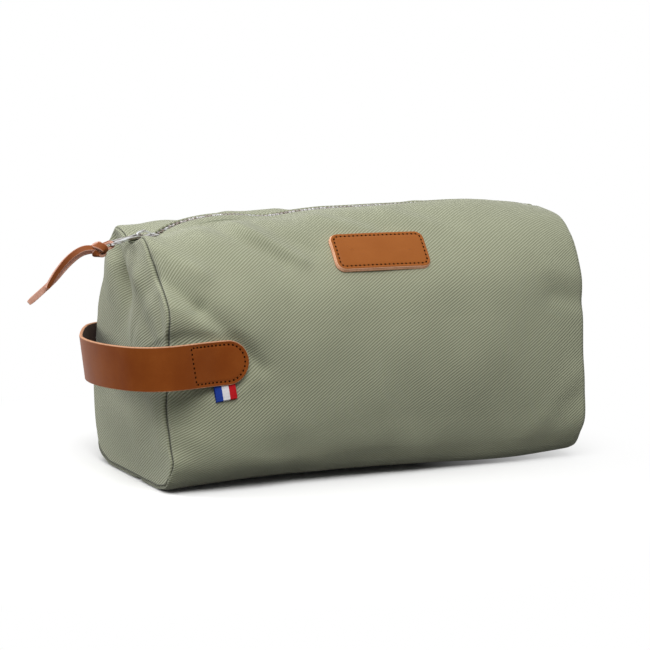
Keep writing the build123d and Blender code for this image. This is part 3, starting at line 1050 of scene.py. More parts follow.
@dataclass
class Studio:
    """Camera, lamps and a plain pale floor."""

    place: Place = (-0.841, -1.851, 0.4103)
    yaw: float = 24.186
    dip: float = 9.155
    focal: float = 188.3
    farthest: float = 60.0
    floor_half: float = 12.0
    floor_white: float = 0.96
    floor_plain: float = 0.14
    shadow_at: Place = (-0.11, -0.04, 0.0)
    shadow_reach: Pair = (0.14, 0.31)
    ambient: float = 0.24
    lamps: tuple[Lamp, ...] = (
        Lamp("overhead", (0.0, 0.05, 1.3), (0.0, 0.0, 0.08), (1.5, 1.3), 5.0),
        Lamp("high_front", (-0.4, -0.95, 1.25), (0.0, 0.0, 0.08), (1.2, 1.0), 24.0),
        Lamp("left_back", (-1.35, 0.95, 0.75), (-0.1, 0.0, 0.08), (0.9, 0.9), 17.0),
    )

    def build(self) -> None:
        """Makes everything round the bag."""
        self._camera()
        self._floor()
        self._world()
        for lamp in self.lamps:
            lamp.build()
        bpy.context.scene.view_settings.view_transform = "Standard"

    def _camera(self) -> None:
        """The camera, level from side to side."""
        data = bpy.data.cameras.new("view")
        data.lens = self.focal
        data.clip_end = self.farthest
        item = linked("view", data)
        item.location = self.place
        item.rotation_euler = (math.radians(90.0 - self.dip), 0.0, -math.radians(self.yaw))
        bpy.context.scene.camera = item

    def _floor(self) -> None:
        """A wide floor that stays white and keeps the shadow."""
        graph = Graph("floor_white")
        seen = self._seen(graph)
        shown, plain = (
            graph.add("ShaderNodeBsdfDiffuse", {}, {"Color": (grey, grey, grey, 1.0)})
            for grey in (self.floor_white, self.floor_plain))
        white = self._white(graph, "ShaderNodeEmission", 1.0)
        near = graph.add("ShaderNodeVectorMath", {"operation": "DISTANCE"},
                         {0: graph.solid(), 1: self.shadow_at}, out=1)
        faded = self._mix(graph, near.rise(*self.shadow_reach), shown, white)
        piece = Piece("floor")
        side = self.floor_half
        corners = [[[x, y, 0.0] for y in (-side, side)] for x in (-side, side)]
        piece.add_faces(piece.add_points(np.array(corners)))
        piece.build([graph.output(self._mix(graph, seen, plain, faded))], smooth=False)

    def _world(self) -> None:
        """White where it is seen, and a softer light elsewhere."""
        world = bpy.data.worlds.new("room")
        bpy.context.scene.world = world
        world.use_nodes = True
        graph = Graph("room", world.node_tree)
        white, soft = (self._white(graph, "ShaderNodeBackground", power)
                       for power in (1.0, self.ambient))
        mixed = self._mix(graph, self._seen(graph), soft, white)
        graph.output(mixed, "ShaderNodeOutputWorld")

    @staticmethod
    def _white(graph: Graph, kind: str, power: float) -> Wire:
        """A white shader that gives light."""
        return graph.add(kind, {}, {"Color": (1, 1, 1, 1), "Strength": power})

    @staticmethod
    def _mix(graph: Graph, share: Wire, first: Wire, second: Wire) -> Wire:
        """The first shader at share 0, and the second at 1."""
        return graph.add("ShaderNodeMixShader", {}, {0: share, 1: first, 2: second})

    @staticmethod
    def _seen(graph: Graph) -> Wire:
        """1 for what the camera sees, itself or in metal and glass."""
        first = graph.add("ShaderNodeLightPath", out="Is Camera Ray")
        outputs = first.socket.node.outputs
        glossy, clear = (Wire(graph, outputs[name])
                         for name in ("Is Glossy Ray", "Is Transmission Ray"))
        return first.most(glossy).most(clear)


# ---- The bag's form ----


@dataclass(frozen=True)
class Fold:
    """A ridge or valley in the cloth, straight between two places."""

    start: Pair
    end: Pair
    width: float
    height: float

    def lift(self, first: np.ndarray, second: np.ndarray) -> np.ndarray:
        """How far the fold lifts the cloth.

        Args:
            first: First coordinate of each place, in millimetres.
            second: Second coordinate.

        Returns:
            The lift in millimetres.
        """
        run = (self.end[0] - self.start[0], self.end[1] - self.start[1])
        length = math.hypot(*run)
        ahead = (run[0] / length, run[1] / length)
        along = (first - self.start[0]) * ahead[0] + (second - self.start[1]) * ahead[1]
        aside = (second - self.start[1]) * ahead[0] - (first - self.start[0]) * ahead[1]
        past = np.maximum(np.maximum(-along, along - length), 0.0)
        return self.height * bell(past, 1.2 * self.width) * bell(aside, self.width)


class ZipLine:
    """Height of the tape's middle along the zip, as it lies on the filled bag."""

    KNOTS = (
        (-135, 140.2), (-124, 141.8), (-119, 143.2), (-114, 146.2), (-109, 148.4), (-100, 150.9),
        (-90, 152.5), (-76, 153.3), (-66, 152.8), (-57, 151.7), (-50, 151.2), (-40, 151.8),
        (-34, 152.5), (-28, 153.0), (-20, 153.5), (-10, 153.8), (4, 153.8), (22, 153.8),
        (40, 153.7), (57, 153.8), (76, 153.8), (90, 153.3), (100, 152.2), (110, 151.2),
        (120, 149.9), (128, 148.5), (135, 147.6),
    )

    def height(self, x: np.ndarray) -> np.ndarray:
        """Height at each x, both in millimetres."""
        knots = np.array(self.KNOTS, float)
        return through(knots[:, 0], knots[:, 1], np.asarray(x, float))

    def frame(self, x: np.ndarray) -> tuple[np.ndarray, np.ndarray, np.ndarray]:
        """Places on the line with their directions.

        Args:
            x: Places along the bag, in millimetres.

        Returns:
            Points in metres, unit vectors along the zip, and unit vectors up from it.
        """
        x = np.asarray(x, float)
        z = self.height(x)
        slope = self.height(x + 0.5) - self.height(x - 0.5)
        ahead = unit(np.stack([np.ones_like(x), np.zeros_like(x), slope], axis=-1))
        up = np.stack([-ahead[..., 2], np.zeros_like(x), ahead[..., 0]], axis=-1)
        return np.stack([x, np.zeros_like(x), z], axis=-1) * MM, ahead, up


class Face(Enum):
    """The two long walls of the bag, each with the sign of its Y."""

    FRONT = -1
    BACK = 1

    @property
    def label(self) -> str:
        """The word that the wall's pieces are named by."""
        return self.name.lower()


@dataclass(frozen=True)
class Ripple:
    """One slow wave of uneven cloth: its height, its two wavelengths over 2 pi and its phase."""

    height: float
    along: float
    upward: float
    phase: float

    def lift(self, x: np.ndarray, z: np.ndarray) -> np.ndarray:
        """Its height at each x and z, all in millimetres."""
        return self.height * np.sin(x / self.along + z / self.upward + self.phase)


@dataclass
class BagForm:
    """The filled bag's outside, from sections at five stations along it, in millimetres."""

    zip_line: ZipLine
    half_length: float = 135.0
    lip_rise: float = 1.25
    # How far down a wall the lip's own line still shows.
    lip_reach: float = 16.0
    stations: tuple[float, ...] = (-135.0, -106.0, 0.0, 106.0, 135.0)
    # Each section runs from the lip over the crest and the belly to the seam under the base.
    front: tuple[tuple[Pair, ...], ...] = (
        ((5, 142.6), (12, 143.8), (18.5, 144.6), (31.5, 139.6), (43, 132), (54, 121.6),
         (63.6, 108.5), (67, 88), (66.8, 56), (67.4, 33), (65, 14), (56.5, 3.6), (44, 0.4), (8, 0)),
        ((5, 149.2), (12, 148.8), (20, 148.4), (32.5, 144), (43.5, 135.4), (54.5, 123.6),
         (63.5, 110), (68, 88), (67.6, 58), (67.6, 30), (62.5, 12.5), (52, 4.2), (40, 2), (8, 0)),
        ((5, 155.4), (12, 155.6), (19, 154.9), (30.5, 149.6), (40.5, 140.7), (50.5, 129.6),
         (60.3, 115.6), (66.8, 93), (69.4, 66), (67.4, 38), (62.6, 17), (54, 6.6), (42, 3.4),
         (8, 0)),
        ((5, 153.6), (12, 154), (20, 153), (31.5, 149), (42, 142.3), (51.5, 132), (59, 118),
         (63, 96), (65, 68), (63.8, 38), (60, 16), (52.5, 5), (41, 1.6), (8, 0)),
        ((5, 148.6), (12, 148.2), (24, 147.2), (34.5, 145), (41.8, 139.8), (48.5, 132.6),
         (54.6, 120), (57.5, 99), (60, 68), (63, 42), (61.4, 20), (51.8, 7.6), (40, 3.4), (8, 1)),
    )
    back: tuple[tuple[Pair, ...], ...] = (
        ((5, 142.8), (14, 145.8), (27, 147.4), (36, 139.8), (42.3, 128.2), (47.5, 116), (55.6, 101),
         (61.6, 84), (65, 61), (66.6, 40), (62.8, 18), (54, 4.6), (40, 0.4), (-8, 0)),
        ((5, 149.0), (13, 149.8), (24, 149.2), (36, 143.6), (45.8, 133), (53.2, 120), (58.6, 103),
         (62.4, 82), (63.8, 59), (63.4, 33), (58.8, 13), (47.5, 2.2), (38, 0.4), (-8, 0)),
        ((5, 155), (13, 153.6), (23, 152), (34, 146.8), (44, 138.2), (52.6, 127), (60, 110.5),
         (64.2, 89), (65.6, 64), (64.8, 34), (60.3, 12.5), (50, 1.8), (40, 0.4), (-8, 0)),
        ((5, 153.4), (13, 151.6), (23.5, 149.6), (34.5, 144.6), (44, 136.6), (52, 125), (58.6, 108),
         (62.6, 87), (64, 63), (63.4, 35), (59.2, 13.5), (48.5, 2.2), (38, 0.5), (-8, 0)),
        ((5, 148.6), (14, 147.4), (25, 145.0), (35, 140.4), (44, 132.4), (50.6, 121.6), (56.5, 105),
         (60.6, 85), (62.2, 62), (62, 37), (57.8, 18.5), (47, 7.0), (38, 4.2), (-8, 1.5)),
    )
    # How far the front wall is drawn in at the left seam, by height.
    drawn_in: tuple[Pair, ...] = (
        (0, 0.4), (8, 1.4), (20, 3.2), (27, 7), (35, 9.4), (42, 12.2), (52, 13), (62, 11.6),
        (88, 10.8), (96, 8), (102, 5.8), (110, 4.6), (118, 5.6), (136, 6.4), (143, 3), (148, 0),
    )
    drawn_reach: float = 26.0
    # The front shoulder's lump beside the patch: its place along and down, its size and height.
    lump_at: Pair = (-57.0, 11.0)
    lump_size: Pair = (9.5, 6.0)
    lump_height: float = 1.5
    # How far the body's right end leans out at the belly.
    end_lean: float = 1.6
    # The swelling over the base's end seams: its place, height and width, and the notch in it
    # where the seam under the base comes in: its place and width.
    swell: Place = (1.0, 1.5, 0.9)
    notch: Pair = (-9.0, 4.0)
    front_folds: tuple[Fold, ...] = (
        Fold((-133, 142), (-112, 127), 5.5, 2.7), Fold((-112, 126), (-84, 94), 8.0, 1.7),
        Fold((-135, 128), (-118, 111), 4.8, -4.2), Fold((-115, 109), (-80, 73), 4.6, -2.2),
        Fold((-124, 104), (-108, 93), 5.0, 0.6), Fold((-92, 152), (-58, 131), 4.0, -1.5),
        Fold((-127, 94), (-112, 93), 3.5, -1.0), Fold((-124, 62), (-100, 58), 4.0, -0.7),
        Fold((-80, 151), (-46, 131), 3.4, 2.2),
        Fold((-64, 152), (-36, 136), 3.8, -1.3), Fold((-100, 146), (-66, 118), 6.0, 0.9),
        Fold((-30, 154), (2, 144), 3.6, 1.3), Fold((-18, 155), (14, 146), 3.5, -1.0),
        Fold((18, 154), (44, 146), 3.6, 1.1), Fold((34, 155), (60, 147), 3.5, -0.5),
        Fold((-22, 104), (2, 30), 6.0, 0.5), Fold((6, 92), (24, 28), 7.0, -0.35),
        Fold((128, 52), (100, 22), 7.0, 0.7), Fold((130, 40), (112, 16), 7.0, -0.5),
        Fold((116, 102), (133, 97), 6.0, -1.4), Fold((112, 118), (132, 112), 6.0, 0.7),
        Fold((-118, 30), (-70, 14), 7.0, 0.8), Fold((-60, 22), (0, 14), 7.0, -0.6),
    )
    back_folds: tuple[Fold, ...] = (
        Fold((-128, 130), (-100, 104), 5.5, 1.5), Fold((-130, 116), (-104, 92), 5.0, -1.6),
        Fold((-96, 148), (-60, 128), 5.0, -0.9), Fold((-70, 149), (-36, 132), 5.0, 0.8),
        Fold((-20, 150), (14, 136), 5.0, -0.7), Fold((-10, 104), (14, 36), 7.0, 0.5),
        Fold((120, 124), (98, 96), 6.0, 1.1), Fold((124, 100), (104, 74), 6.0, -1.0),
        Fold((60, 150), (90, 132), 5.0, 0.7), Fold((40, 30), (96, 16), 7.0, 0.7),
        Fold((-110, 32), (-60, 16), 7.0, 0.7), Fold((-62, 149), (-34, 149), 7.0, 2.4),
    )
    ripples: tuple[Ripple, ...] = (
        Ripple(0.28, 17.0, 23.0, 1.0), Ripple(0.22, 9.5, -14.0, 0.0), Ripple(0.12, 5.2, 7.5, 2.0))
    # How deep the handle's stitched end presses into the front and the back, and where it is.
    press: Pair = (2.0, 1.0)
    press_at: Pair = (-100.0, 77.2)
    press_radius: float = 13.0
    seam_reach: tuple[float, ...] = (-3.2, -1.6, 0.0, 0.2, 0.5, 0.9, 1.4, 2.0, 2.8, 3.8, 5.0, 6.5)
    seam_depth: float = 3.2
    seam_radius: float = 3.6
    # Width of the painted shade in a seam's groove.
    groove_width: float = 0.7
    base_depth: float = 3.5
    base_radius: float = 3.6
    # Heights over which a form of the base turns into one of the wall.
    base_blend: Pair = (6.0, 20.0)

    def low(self, height: np.ndarray) -> np.ndarray:
        """1 along the base and 0 higher up."""
        return 1 - step(height, *self.base_blend)

    def table(self, face: Face) -> np.ndarray:
        """The wall's section points, stations by points by 2, with Y signed."""
        points = np.array(self.front if face is Face.FRONT else self.back, float)
        points[..., 0] *= face.value
        lips = self.zip_line.height(np.array(self.stations))
        points[:, 0, 1] = lips + self.lip_rise
        return points

    def knots(self, face: Face) -> np.ndarray:
        """Distances down the middle section, at its points."""
        return distances(self.table(face)[len(self.stations) // 2])

    def rows(self, face: Face, spacing: float) -> np.ndarray:
        """Evenly spaced distances down a section."""
        total = self.knots(face)[-1]
        return np.linspace(0.0, total, max(2, round(total / spacing)) + 1)

    def plain(self, face: Face, x: np.ndarray, down: np.ndarray) -> np.ndarray:
        """The smooth wall, before its folds and seams.

        Args:
            face: Which wall.
            x: Places along the bag.
            down: Distances down the section.

        Returns:
            Points, len(down) by len(x) by 3.
        """
        x, down = np.asarray(x, float), np.asarray(down, float)
        sections = through(np.array(self.stations), self.table(face), x)
        swept = through(self.knots(face), np.transpose(sections, (1, 0, 2)), down)
        drift = self.zip_line.height(x) + self.lip_rise - swept[0, :, 1]
        swept[..., 1] += drift[None, :] * bell(down, self.lip_reach)[:, None]
        if face is Face.FRONT:
            across = bell(x - self.lump_at[0], self.lump_size[0])[None, :]
            swept[..., 1] += (self.lump_height * across
                              * bell(down - self.lump_at[1], self.lump_size[1])[:, None])
            beside = np.clip(1 - (x + self.half_length) / self.drawn_reach, 0.0, 1.0)[None, :] ** 2
            swept[..., 0] += beside * np.interp(swept[..., 1], *np.transpose(self.drawn_in))
        level = swept[..., 1]
        belly = step(level, 5.0, 24.0) * (1 - step(level, 100.0, 134.0))
        along = x + self.end_lean * step(x, 100.0, self.half_length) * belly
        return np.stack([along, swept[..., 0], level], axis=-1)

    def wall(self, face: Face, x: np.ndarray, down: np.ndarray) -> np.ndarray:
        """The wall with its folds, before its seams.

        Args:
            face: Which wall.
            x: Places along the bag.
            down: Distances down the section.

        Returns:
            Points, len(down) by len(x) by 3.
        """
        points = self.plain(face, x, down)
        folds = self.front_folds if face is Face.FRONT else self.back_folds
        lift = sum(fold.lift(points[..., 0], points[..., 2]) for fold in folds)
        lift = lift + sum(wave.lift(points[..., 0], points[..., 2]) for wave in self.ripples)
        lift = lift - self.dent(face, points)
        room = step(np.asarray(down, float), 5.0, 16.0)[:, None]
        grounded = step(points[..., 2], 0.5, 9.0)
        normals = grid_normals(points, face is Face.BACK)
        points = points + normals * (lift * room * grounded)[..., None]
        points[..., 2] = np.maximum(points[..., 2], 0.0)
        return points

    def dent(self, face: Face, points: np.ndarray) -> np.ndarray:
        """How far the stitched end of the handle presses the cloth in.

        Args:
            face: Which wall.
            points: Places on it.

        Returns:
            Depth in millimetres.
        """
        tip_x, tip_z = self.press_at
        beyond = np.hypot(np.maximum(points[..., 0] - tip_x, 0.0), points[..., 2] - tip_z)
        depth = self.press[0 if face is Face.FRONT else 1]
        return depth * (1 - step(beyond - self.press_radius, -1.0, 7.0))

    def seam_line(self, face: Face, end: int, down: np.ndarray) -> np.ndarray:
        """The wall's edge at one end, before the seam is rolled in."""
        beside = end * (self.half_length - np.array([2.0, 1.0, 0.0]))
        column = self.wall(face, np.sort(beside), down)
        return column[:, -1 if end > 0 else 0]

    def columns(self, spacing: float) -> np.ndarray:
        """Distances in from the left seam, fine beside both seams; the ends are seam allowance."""
        edge, length = np.array(self.seam_reach), 2 * self.half_length
        count = round((length - 2 * edge[-1]) / spacing) + 1
        middle = np.linspace(edge[-1], length - edge[-1], count)
        return np.concatenate([edge, middle[1:-1], length - edge[::-1]])

    def roll(self, inward: np.ndarray, low: np.ndarray) -> np.ndarray:
        """How far cloth rolls in at a seam.

        Args:
            inward: Distance from the seam; below 0 it is the hidden allowance.
            low: 1 along the base and 0 higher up.

        Returns:
            Depth in millimetres.
        """
        depth = self.seam_depth + (self.base_depth - self.seam_depth) * low
        radius = self.seam_radius + (self.base_radius - self.seam_radius) * low
        share = np.clip(1 - inward / radius, 0.0, 1.0)
        return depth * (1 - np.sqrt(1 - share**2)) + np.maximum(-inward, 0.0)

    def shade(self, inward: np.ndarray) -> np.ndarray:
        """How much painted shade darkens the cloth in a seam's groove, from 0 to 1."""
        return bell(np.maximum(inward, 0.0), self.groove_width)

    def corner_way(self, face: Face, end: int, down: np.ndarray) -> np.ndarray:
        """Unit vectors into the seam at one end, halfway between the wall and the end panel."""
        seam_x = end * self.half_length
        pair = self.plain(face, np.array([seam_x - 2.0 * end, seam_x]), down)
        line = pair[:, 1]
        ahead = unit(np.gradient(line, axis=0))
        outward = np.cross(ahead, np.array([1.0, 0.0, 0.0])) * (1 if face is Face.FRONT else -1)
        share = 1 - 0.65 * self.low(line[:, 2])
        return unit(-outward + share[:, None] * np.array([-end, 0.0, 0.0]))

    def seamed(self, face: Face, x_in: np.ndarray, down: np.ndarray) -> np.ndarray:
        """The finished outside of a wall, with both of its end seams.

        Args:
            face: Which wall.
            x_in: Distances in from the left seam, below 0 or past the length for allowance.
            down: Distances down the section.

        Returns:
            Points, len(down) by len(x_in) by 3.
        """
        length = 2 * self.half_length
        shown = x_in[(x_in >= 0) & (x_in <= length)]
        points = self.wall(face, shown - self.half_length, down)
        hidden = int(np.sum(x_in < 0)), int(np.sum(x_in > length))
        points = np.pad(points, ((0, 0), hidden, (0, 0)), mode="edge")
        for end in (-1, 1):
            inward = (x_in if end < 0 else length - x_in)[None, :]
            low = self.low(points[..., 2])
            way = self.corner_way(face, end, down)[:, None, :]
            points = points + way * self.roll(np.broadcast_to(inward, low.shape), low)[..., None]
            middle, height, width = self.swell
            pinch = 1 - 1.5 * bell(points[..., 1] - self.notch[0], self.notch[1])
            points[..., 0] += end * height * bell(inward - middle, width) * low * pinch
        return points


# ---- Canvas body ----


@dataclass
class CanvasBody:
    """Two long walls, two end panels and their linings."""

    form: BagForm
    wardrobe: Wardrobe
    canvas: float = 1.2
    lining_gap: float = 2.4
    lining: float = 0.5
    spacing: float = 1.6
    lining_spacing: float = 4.0
    end_middle: Pair = (-1.0, 72.0)
    end_rings: int = 34
    # Distances in from the end panel's seam at which its rolled edge has a ring.
    end_edge: tuple[float, ...] = (-3.0, -1.5, 0.0, 0.3, 0.7, 1.2, 1.9, 2.8, 4.0)
    lining_edge: tuple[float, ...] = (6.0,)
    bulge: float = 3.0
    bulge_half: float = 62.0
    # The tuck that the zip's end folds the panel into, and the slack cloth round it.
    end_folds: tuple[Fold, ...] = (
        Fold((28, 139), (9, 121), 6.0, -4.4), Fold((9, 121), (2, 110), 7.0, -3.8),
        Fold((2, 110), (3, 98), 8.0, -2.0), Fold((0, 135), (-20, 121), 6.0, 1.3),
        Fold((-20, 121), (-32, 108), 7.0, 1.2), Fold((-22, 97), (-17, 91), 11.0, 1.4),
        Fold((32, 138), (28, 112), 8.0, 1.4), Fold((-46, 112), (-50, 96), 4.0, -1.4),
        Fold((-30, 96), (-40, 84), 7.0, -1.6), Fold((8, 84), (-6, 76), 12.0, -1.2),
        Fold((-40, 54), (-48, 30), 9.0, 1.2), Fold((-10, 60), (-16, 20), 12.0, 0.8),
    )

    def build(self) -> None:
        """Makes the eight cloth pieces."""
        canvas, lining = (0.0, self.canvas), (self.lining_gap, self.lining)
        for face in Face:
            name = face.label
            self._wall(face, f"{name}_canvas", f"{name}_panel", Finish.CANVAS,
                       *canvas, self.spacing)
            self._wall(face, f"{name}_inner_cloth", f"{name}_lining", Finish.LINING,
                       *lining, self.lining_spacing)
        for end, name in ((-1, "left"), (1, "right")):
            self._end(end, f"{name}_end_canvas", f"{name}_gusset", Finish.END_CANVAS, *canvas)
            self._end(end, f"{name}_end_inner_cloth", f"{name}_lining", Finish.LINING, *lining)

    def _wall(self, face: Face, name: str, node: str, finish: Finish, inset: float,
              thickness: float, spacing: float) -> None:
        """One long wall.

        Args:
            face: Which wall.
            name: The piece's name.
            node: The CAD node that it replaces.
            finish: Its finish.
            inset: How far it lies inside the canvas.
            thickness: Its thickness.
            spacing: Distance between mesh rows.
        """
        form = self.form
        down, x_in = form.rows(face, spacing), form.columns(spacing)
        edge = np.minimum(x_in, 2 * form.half_length - x_in)
        if inset:
            x_in, edge = (each[edge > inset + 1.0] for each in (x_in, edge))
        outer = form.seamed(face, x_in, down)
        flip = face is Face.BACK
        normals = grid_normals(outer, flip)
        outer = outer - normals * inset
        inner = outer - normals * thickness
        steps = np.linalg.norm(np.diff(outer, axis=1, prepend=outer[:, :1]), axis=-1)
        along = np.cumsum(steps, axis=1)
        along -= along[:, along.shape[1] // 2, None]
        drop = np.broadcast_to(down[:, None], along.shape)
        uv = np.stack([along * -face.value, -drop], axis=-1) * MM
        # Painted shade in both seams' grooves, weaker near the lip.
        groove = form.shade(edge)[None, :] * (0.4 + 0.6 * step(drop, 14.0, 36.0))
        piece = Piece(name)
        piece.add_sheet(outer * MM, inner * MM, uv, flip, groove)
        settle(piece.build([self.wardrobe.get(finish)]), "root", finish, node)

    def _end(self, end: int, name: str, node: str, finish: Finish, inset: float,
             thickness: float) -> None:
        """One end panel, as rings that shrink from its seam to its middle.

        Args:
            end: -1 for the left end, 1 for the right.
            name: The piece's name.
            node: The CAD node that it replaces.
            finish: Its finish.
            inset: How far it lies inside the canvas.
            thickness: Its thickness.
        """
        form = self.form
        loop, way = self._seam_loop(end)
        toward = np.array([end * form.half_length, *self.end_middle]) - loop
        reach = np.linalg.norm(toward, axis=1)
        low = form.low(loop[:, 2])
        near = np.array(self.lining_edge if inset else self.end_edge)
        insets = [np.full(len(loop), share) for share in near]
        insets += [near[-1] + share * (reach - near[-1])
                   for share in np.linspace(0.0, 0.98, self.end_rings)[1:]]
        grid = np.stack([
            loop + unit(toward) * np.maximum(inward, 0.0)[:, None]
            + way * form.roll(inward, low)[:, None] for inward in insets])
        grid[..., 0] += self._relief(end, grid)
        flip = end > 0
        normals = grid_normals(grid, flip)
        grid = grid - normals * inset
        # Painted shade in the seam's groove, weaker towards the mouth.
        shade = np.zeros(grid.shape[:2])
        fade = 0.85 - 0.5 * step(loop[:, 2], 124.0, 142.0)
        shade[:len(near)] = form.shade(near)[:, None] * fade
        piece = Piece(name)
        sides = []
        for side, turn in ((grid, flip), (grid - normals * thickness, not flip)):
            uv = np.stack([side[..., 1] * end, side[..., 2]], axis=-1) * MM
            index = piece.add_points(side * MM, uv, shade)
            piece.add_faces(index, turn, close_columns=True)
            centre = piece.add_points(
                side[-1:].mean(axis=1) * MM, uv[-1:].mean(axis=1), shade[-1:, 0])
            piece.add_fan(index[-1], int(centre[0]), not turn)
            sides.append(index)
        piece.add_faces(np.stack([sides[1][0], sides[0][0]]), flip, close_columns=True)
        settle(piece.build([self.wardrobe.get(finish)]), "root", finish, node)

    def _seam_loop(self, end: int) -> tuple[np.ndarray, np.ndarray]:
        """The end panel's whole edge with the direction in which its seam rolls in.

        Args:
            end: -1 for the left end, 1 for the right.

        Returns:
            Points down the front, up the back and across the mouth, with unit vectors.
        """
        downs = [(face, self.form.rows(face, 1.0)) for face in Face]
        shares = np.linspace(0.0, 1.0, 6)[1:-1, None]
        loops = []
        for part in (self.form.seam_line, self.form.corner_way):
            front, back = (part(face, end, down) for face, down in downs)
            mouth = back[0] * (1 - shares) + front[0] * shares
            loops.append(np.concatenate([front, back[::-1][1:], mouth]))
        loop, way = loops
        way[-len(shares):] = unit(way[-len(shares):])
        return loop, way

    def _relief(self, end: int, grid: np.ndarray) -> np.ndarray:
        """The end panel's bulge, tuck and folds, as a shift along X.

        Args:
            end: -1 for the left end, 1 for the right.
            grid: Rings of points.

        Returns:
            Shift in millimetres.
        """
        y, z = grid[..., 1], grid[..., 2]
        bulge = self.bulge * np.clip(1 - (y / self.bulge_half) ** 2, 0, 1)
        bulge = bulge * step(z, 4.0, 40.0) * (1 - step(z, 124.0, 143.0))
        lift = sum(fold.lift(y, z) for fold in self.end_folds)
        rim = np.linspace(0, 1, grid.shape[0])[:, None]
        return end * (bulge + lift) * step(rim, 0.0, 0.35)


# ---- Zip ----


@dataclass
class Zip:
    """Tapes and interlocking teeth along the mouth, and the metal pieces of the slider."""

    line: ZipLine
    wardrobe: Wardrobe
    repeater: Repeater
    tape_inner: float = 0.5
    tape_outer: float = 10.0
    tape_thickness: float = 0.6
    tape_span: Pair = (-134.2, 134.0)
    # The tape drops under the lip: how far, and where across it the drop starts and ends.
    tape_drop: float = 1.0
    drop_span: Pair = (3.3, 5.4)
    chain_span: Pair = (-117.6, 122.4)
    pitch: float = 2.6
    tooth_length: float = 1.15
    head_length: float = 1.5
    tooth_width: float = 3.1
    tooth_height: float = 2.3
    # One ring of a tooth, as shares of its length and height there.
    tooth_ring: tuple[Pair, ...] = (
        (0.5, 0.3), (0.3, 0.5), (-0.3, 0.5), (-0.5, 0.3),
        (-0.5, -0.3), (-0.3, -0.5), (0.3, -0.5), (0.5, -0.3),
    )

    def build(self) -> None:
        """Makes the zip's cloth and teeth and dresses its metal."""
        for face in Face:
            self._tape(face)
            self._teeth(face)
        metal = self.wardrobe.get(Finish.METAL)
        for node in ("zip_slider", "zip_pull", "zip_top_stops", "zip_bottom_stop"):
            item = frame["nodes"][node]
            item.data.materials.clear()
            item.data.materials.append(metal)
            LOG.info("%s keeps its own shape in bright nickel", node)

    def _tape(self, face: Face) -> None:
        """One woven tape.

        Args:
            face: The wall that it is sewn to.
        """
        x = np.linspace(*self.tape_span, 220)
        across = np.linspace(self.tape_inner, self.tape_outer, 9)
        place, _, up = self.line.frame(x)
        sag = -self.tape_drop * step(across, *self.drop_span)
        top = place[:, None, :] + up[:, None, :] * (self.tape_thickness / 2 * MM)
        top = top + np.stack([0 * across, face.value * across, sag], axis=-1)[None] * MM
        under = top - up[:, None, :] * (self.tape_thickness * MM)
        uv = np.stack(np.broadcast_arrays(x[:, None], across[None, :]), axis=-1) * MM
        piece = Piece(f"{face.label}_tape")
        piece.add_sheet(top, under, uv, face is Face.FRONT)
        item = piece.build([self.wardrobe.get(Finish.TAPE)])
        settle(item, "root", Finish.TAPE, f"zip_tape_{face.label}")

    def _teeth(self, face: Face) -> None:
        """One row of teeth.

        Args:
            face: The wall whose tape they are clamped on.
        """
        shift = self.pitch / 2 if face is Face.BACK else 0.0
        place, _, up = self.line.frame(np.linspace(*self.chain_span, 200) + shift)
        item = self.repeater.run(f"{face.label}_teeth", place, up, self._tooth(face),
                                 self.pitch * MM, self.wardrobe.get(Finish.TEETH))
        settle(item, "root", Finish.TEETH, f"zip_teeth_{face.label}")

    def _tooth(self, face: Face) -> bpy.types.Object:
        """One tooth: legs round the tape, a waist and a head past the middle.

        Args:
            face: The wall whose tape carries it.

        Returns:
            The tooth, at the origin.
        """
        body, head, height = self.tooth_length, self.head_length, self.tooth_height
        profile = ((-0.75, 0.4 * head, 0.55 * height), (-0.6, 0.85 * head, 0.85 * height),
                   (-0.1, head, height), (0.45, 0.9 * head, height), (0.9, body * 0.8, height),
                   (1.6, body, height), (2.7, body, 0.95 * height),
                   (self.tooth_width, body * 0.7, 0.75 * height))
        rings = [[(a * length, reach * face.value, b * tall) for a, b in self.tooth_ring]
                 for reach, length, tall in profile]
        piece = Piece("tooth")
        piece.add_lump(np.array(rings) * MM, face is Face.BACK)
        return piece.build([self.wardrobe.get(Finish.TEETH)], smooth=False)


# ---- Lace ----


@dataclass(frozen=True)
class Tail:
    """One tail of the lace: its route, its real length and its twist at both ends in radians."""

    name: str
    points: tuple[Place, ...]
    length: float
    twist: Pair


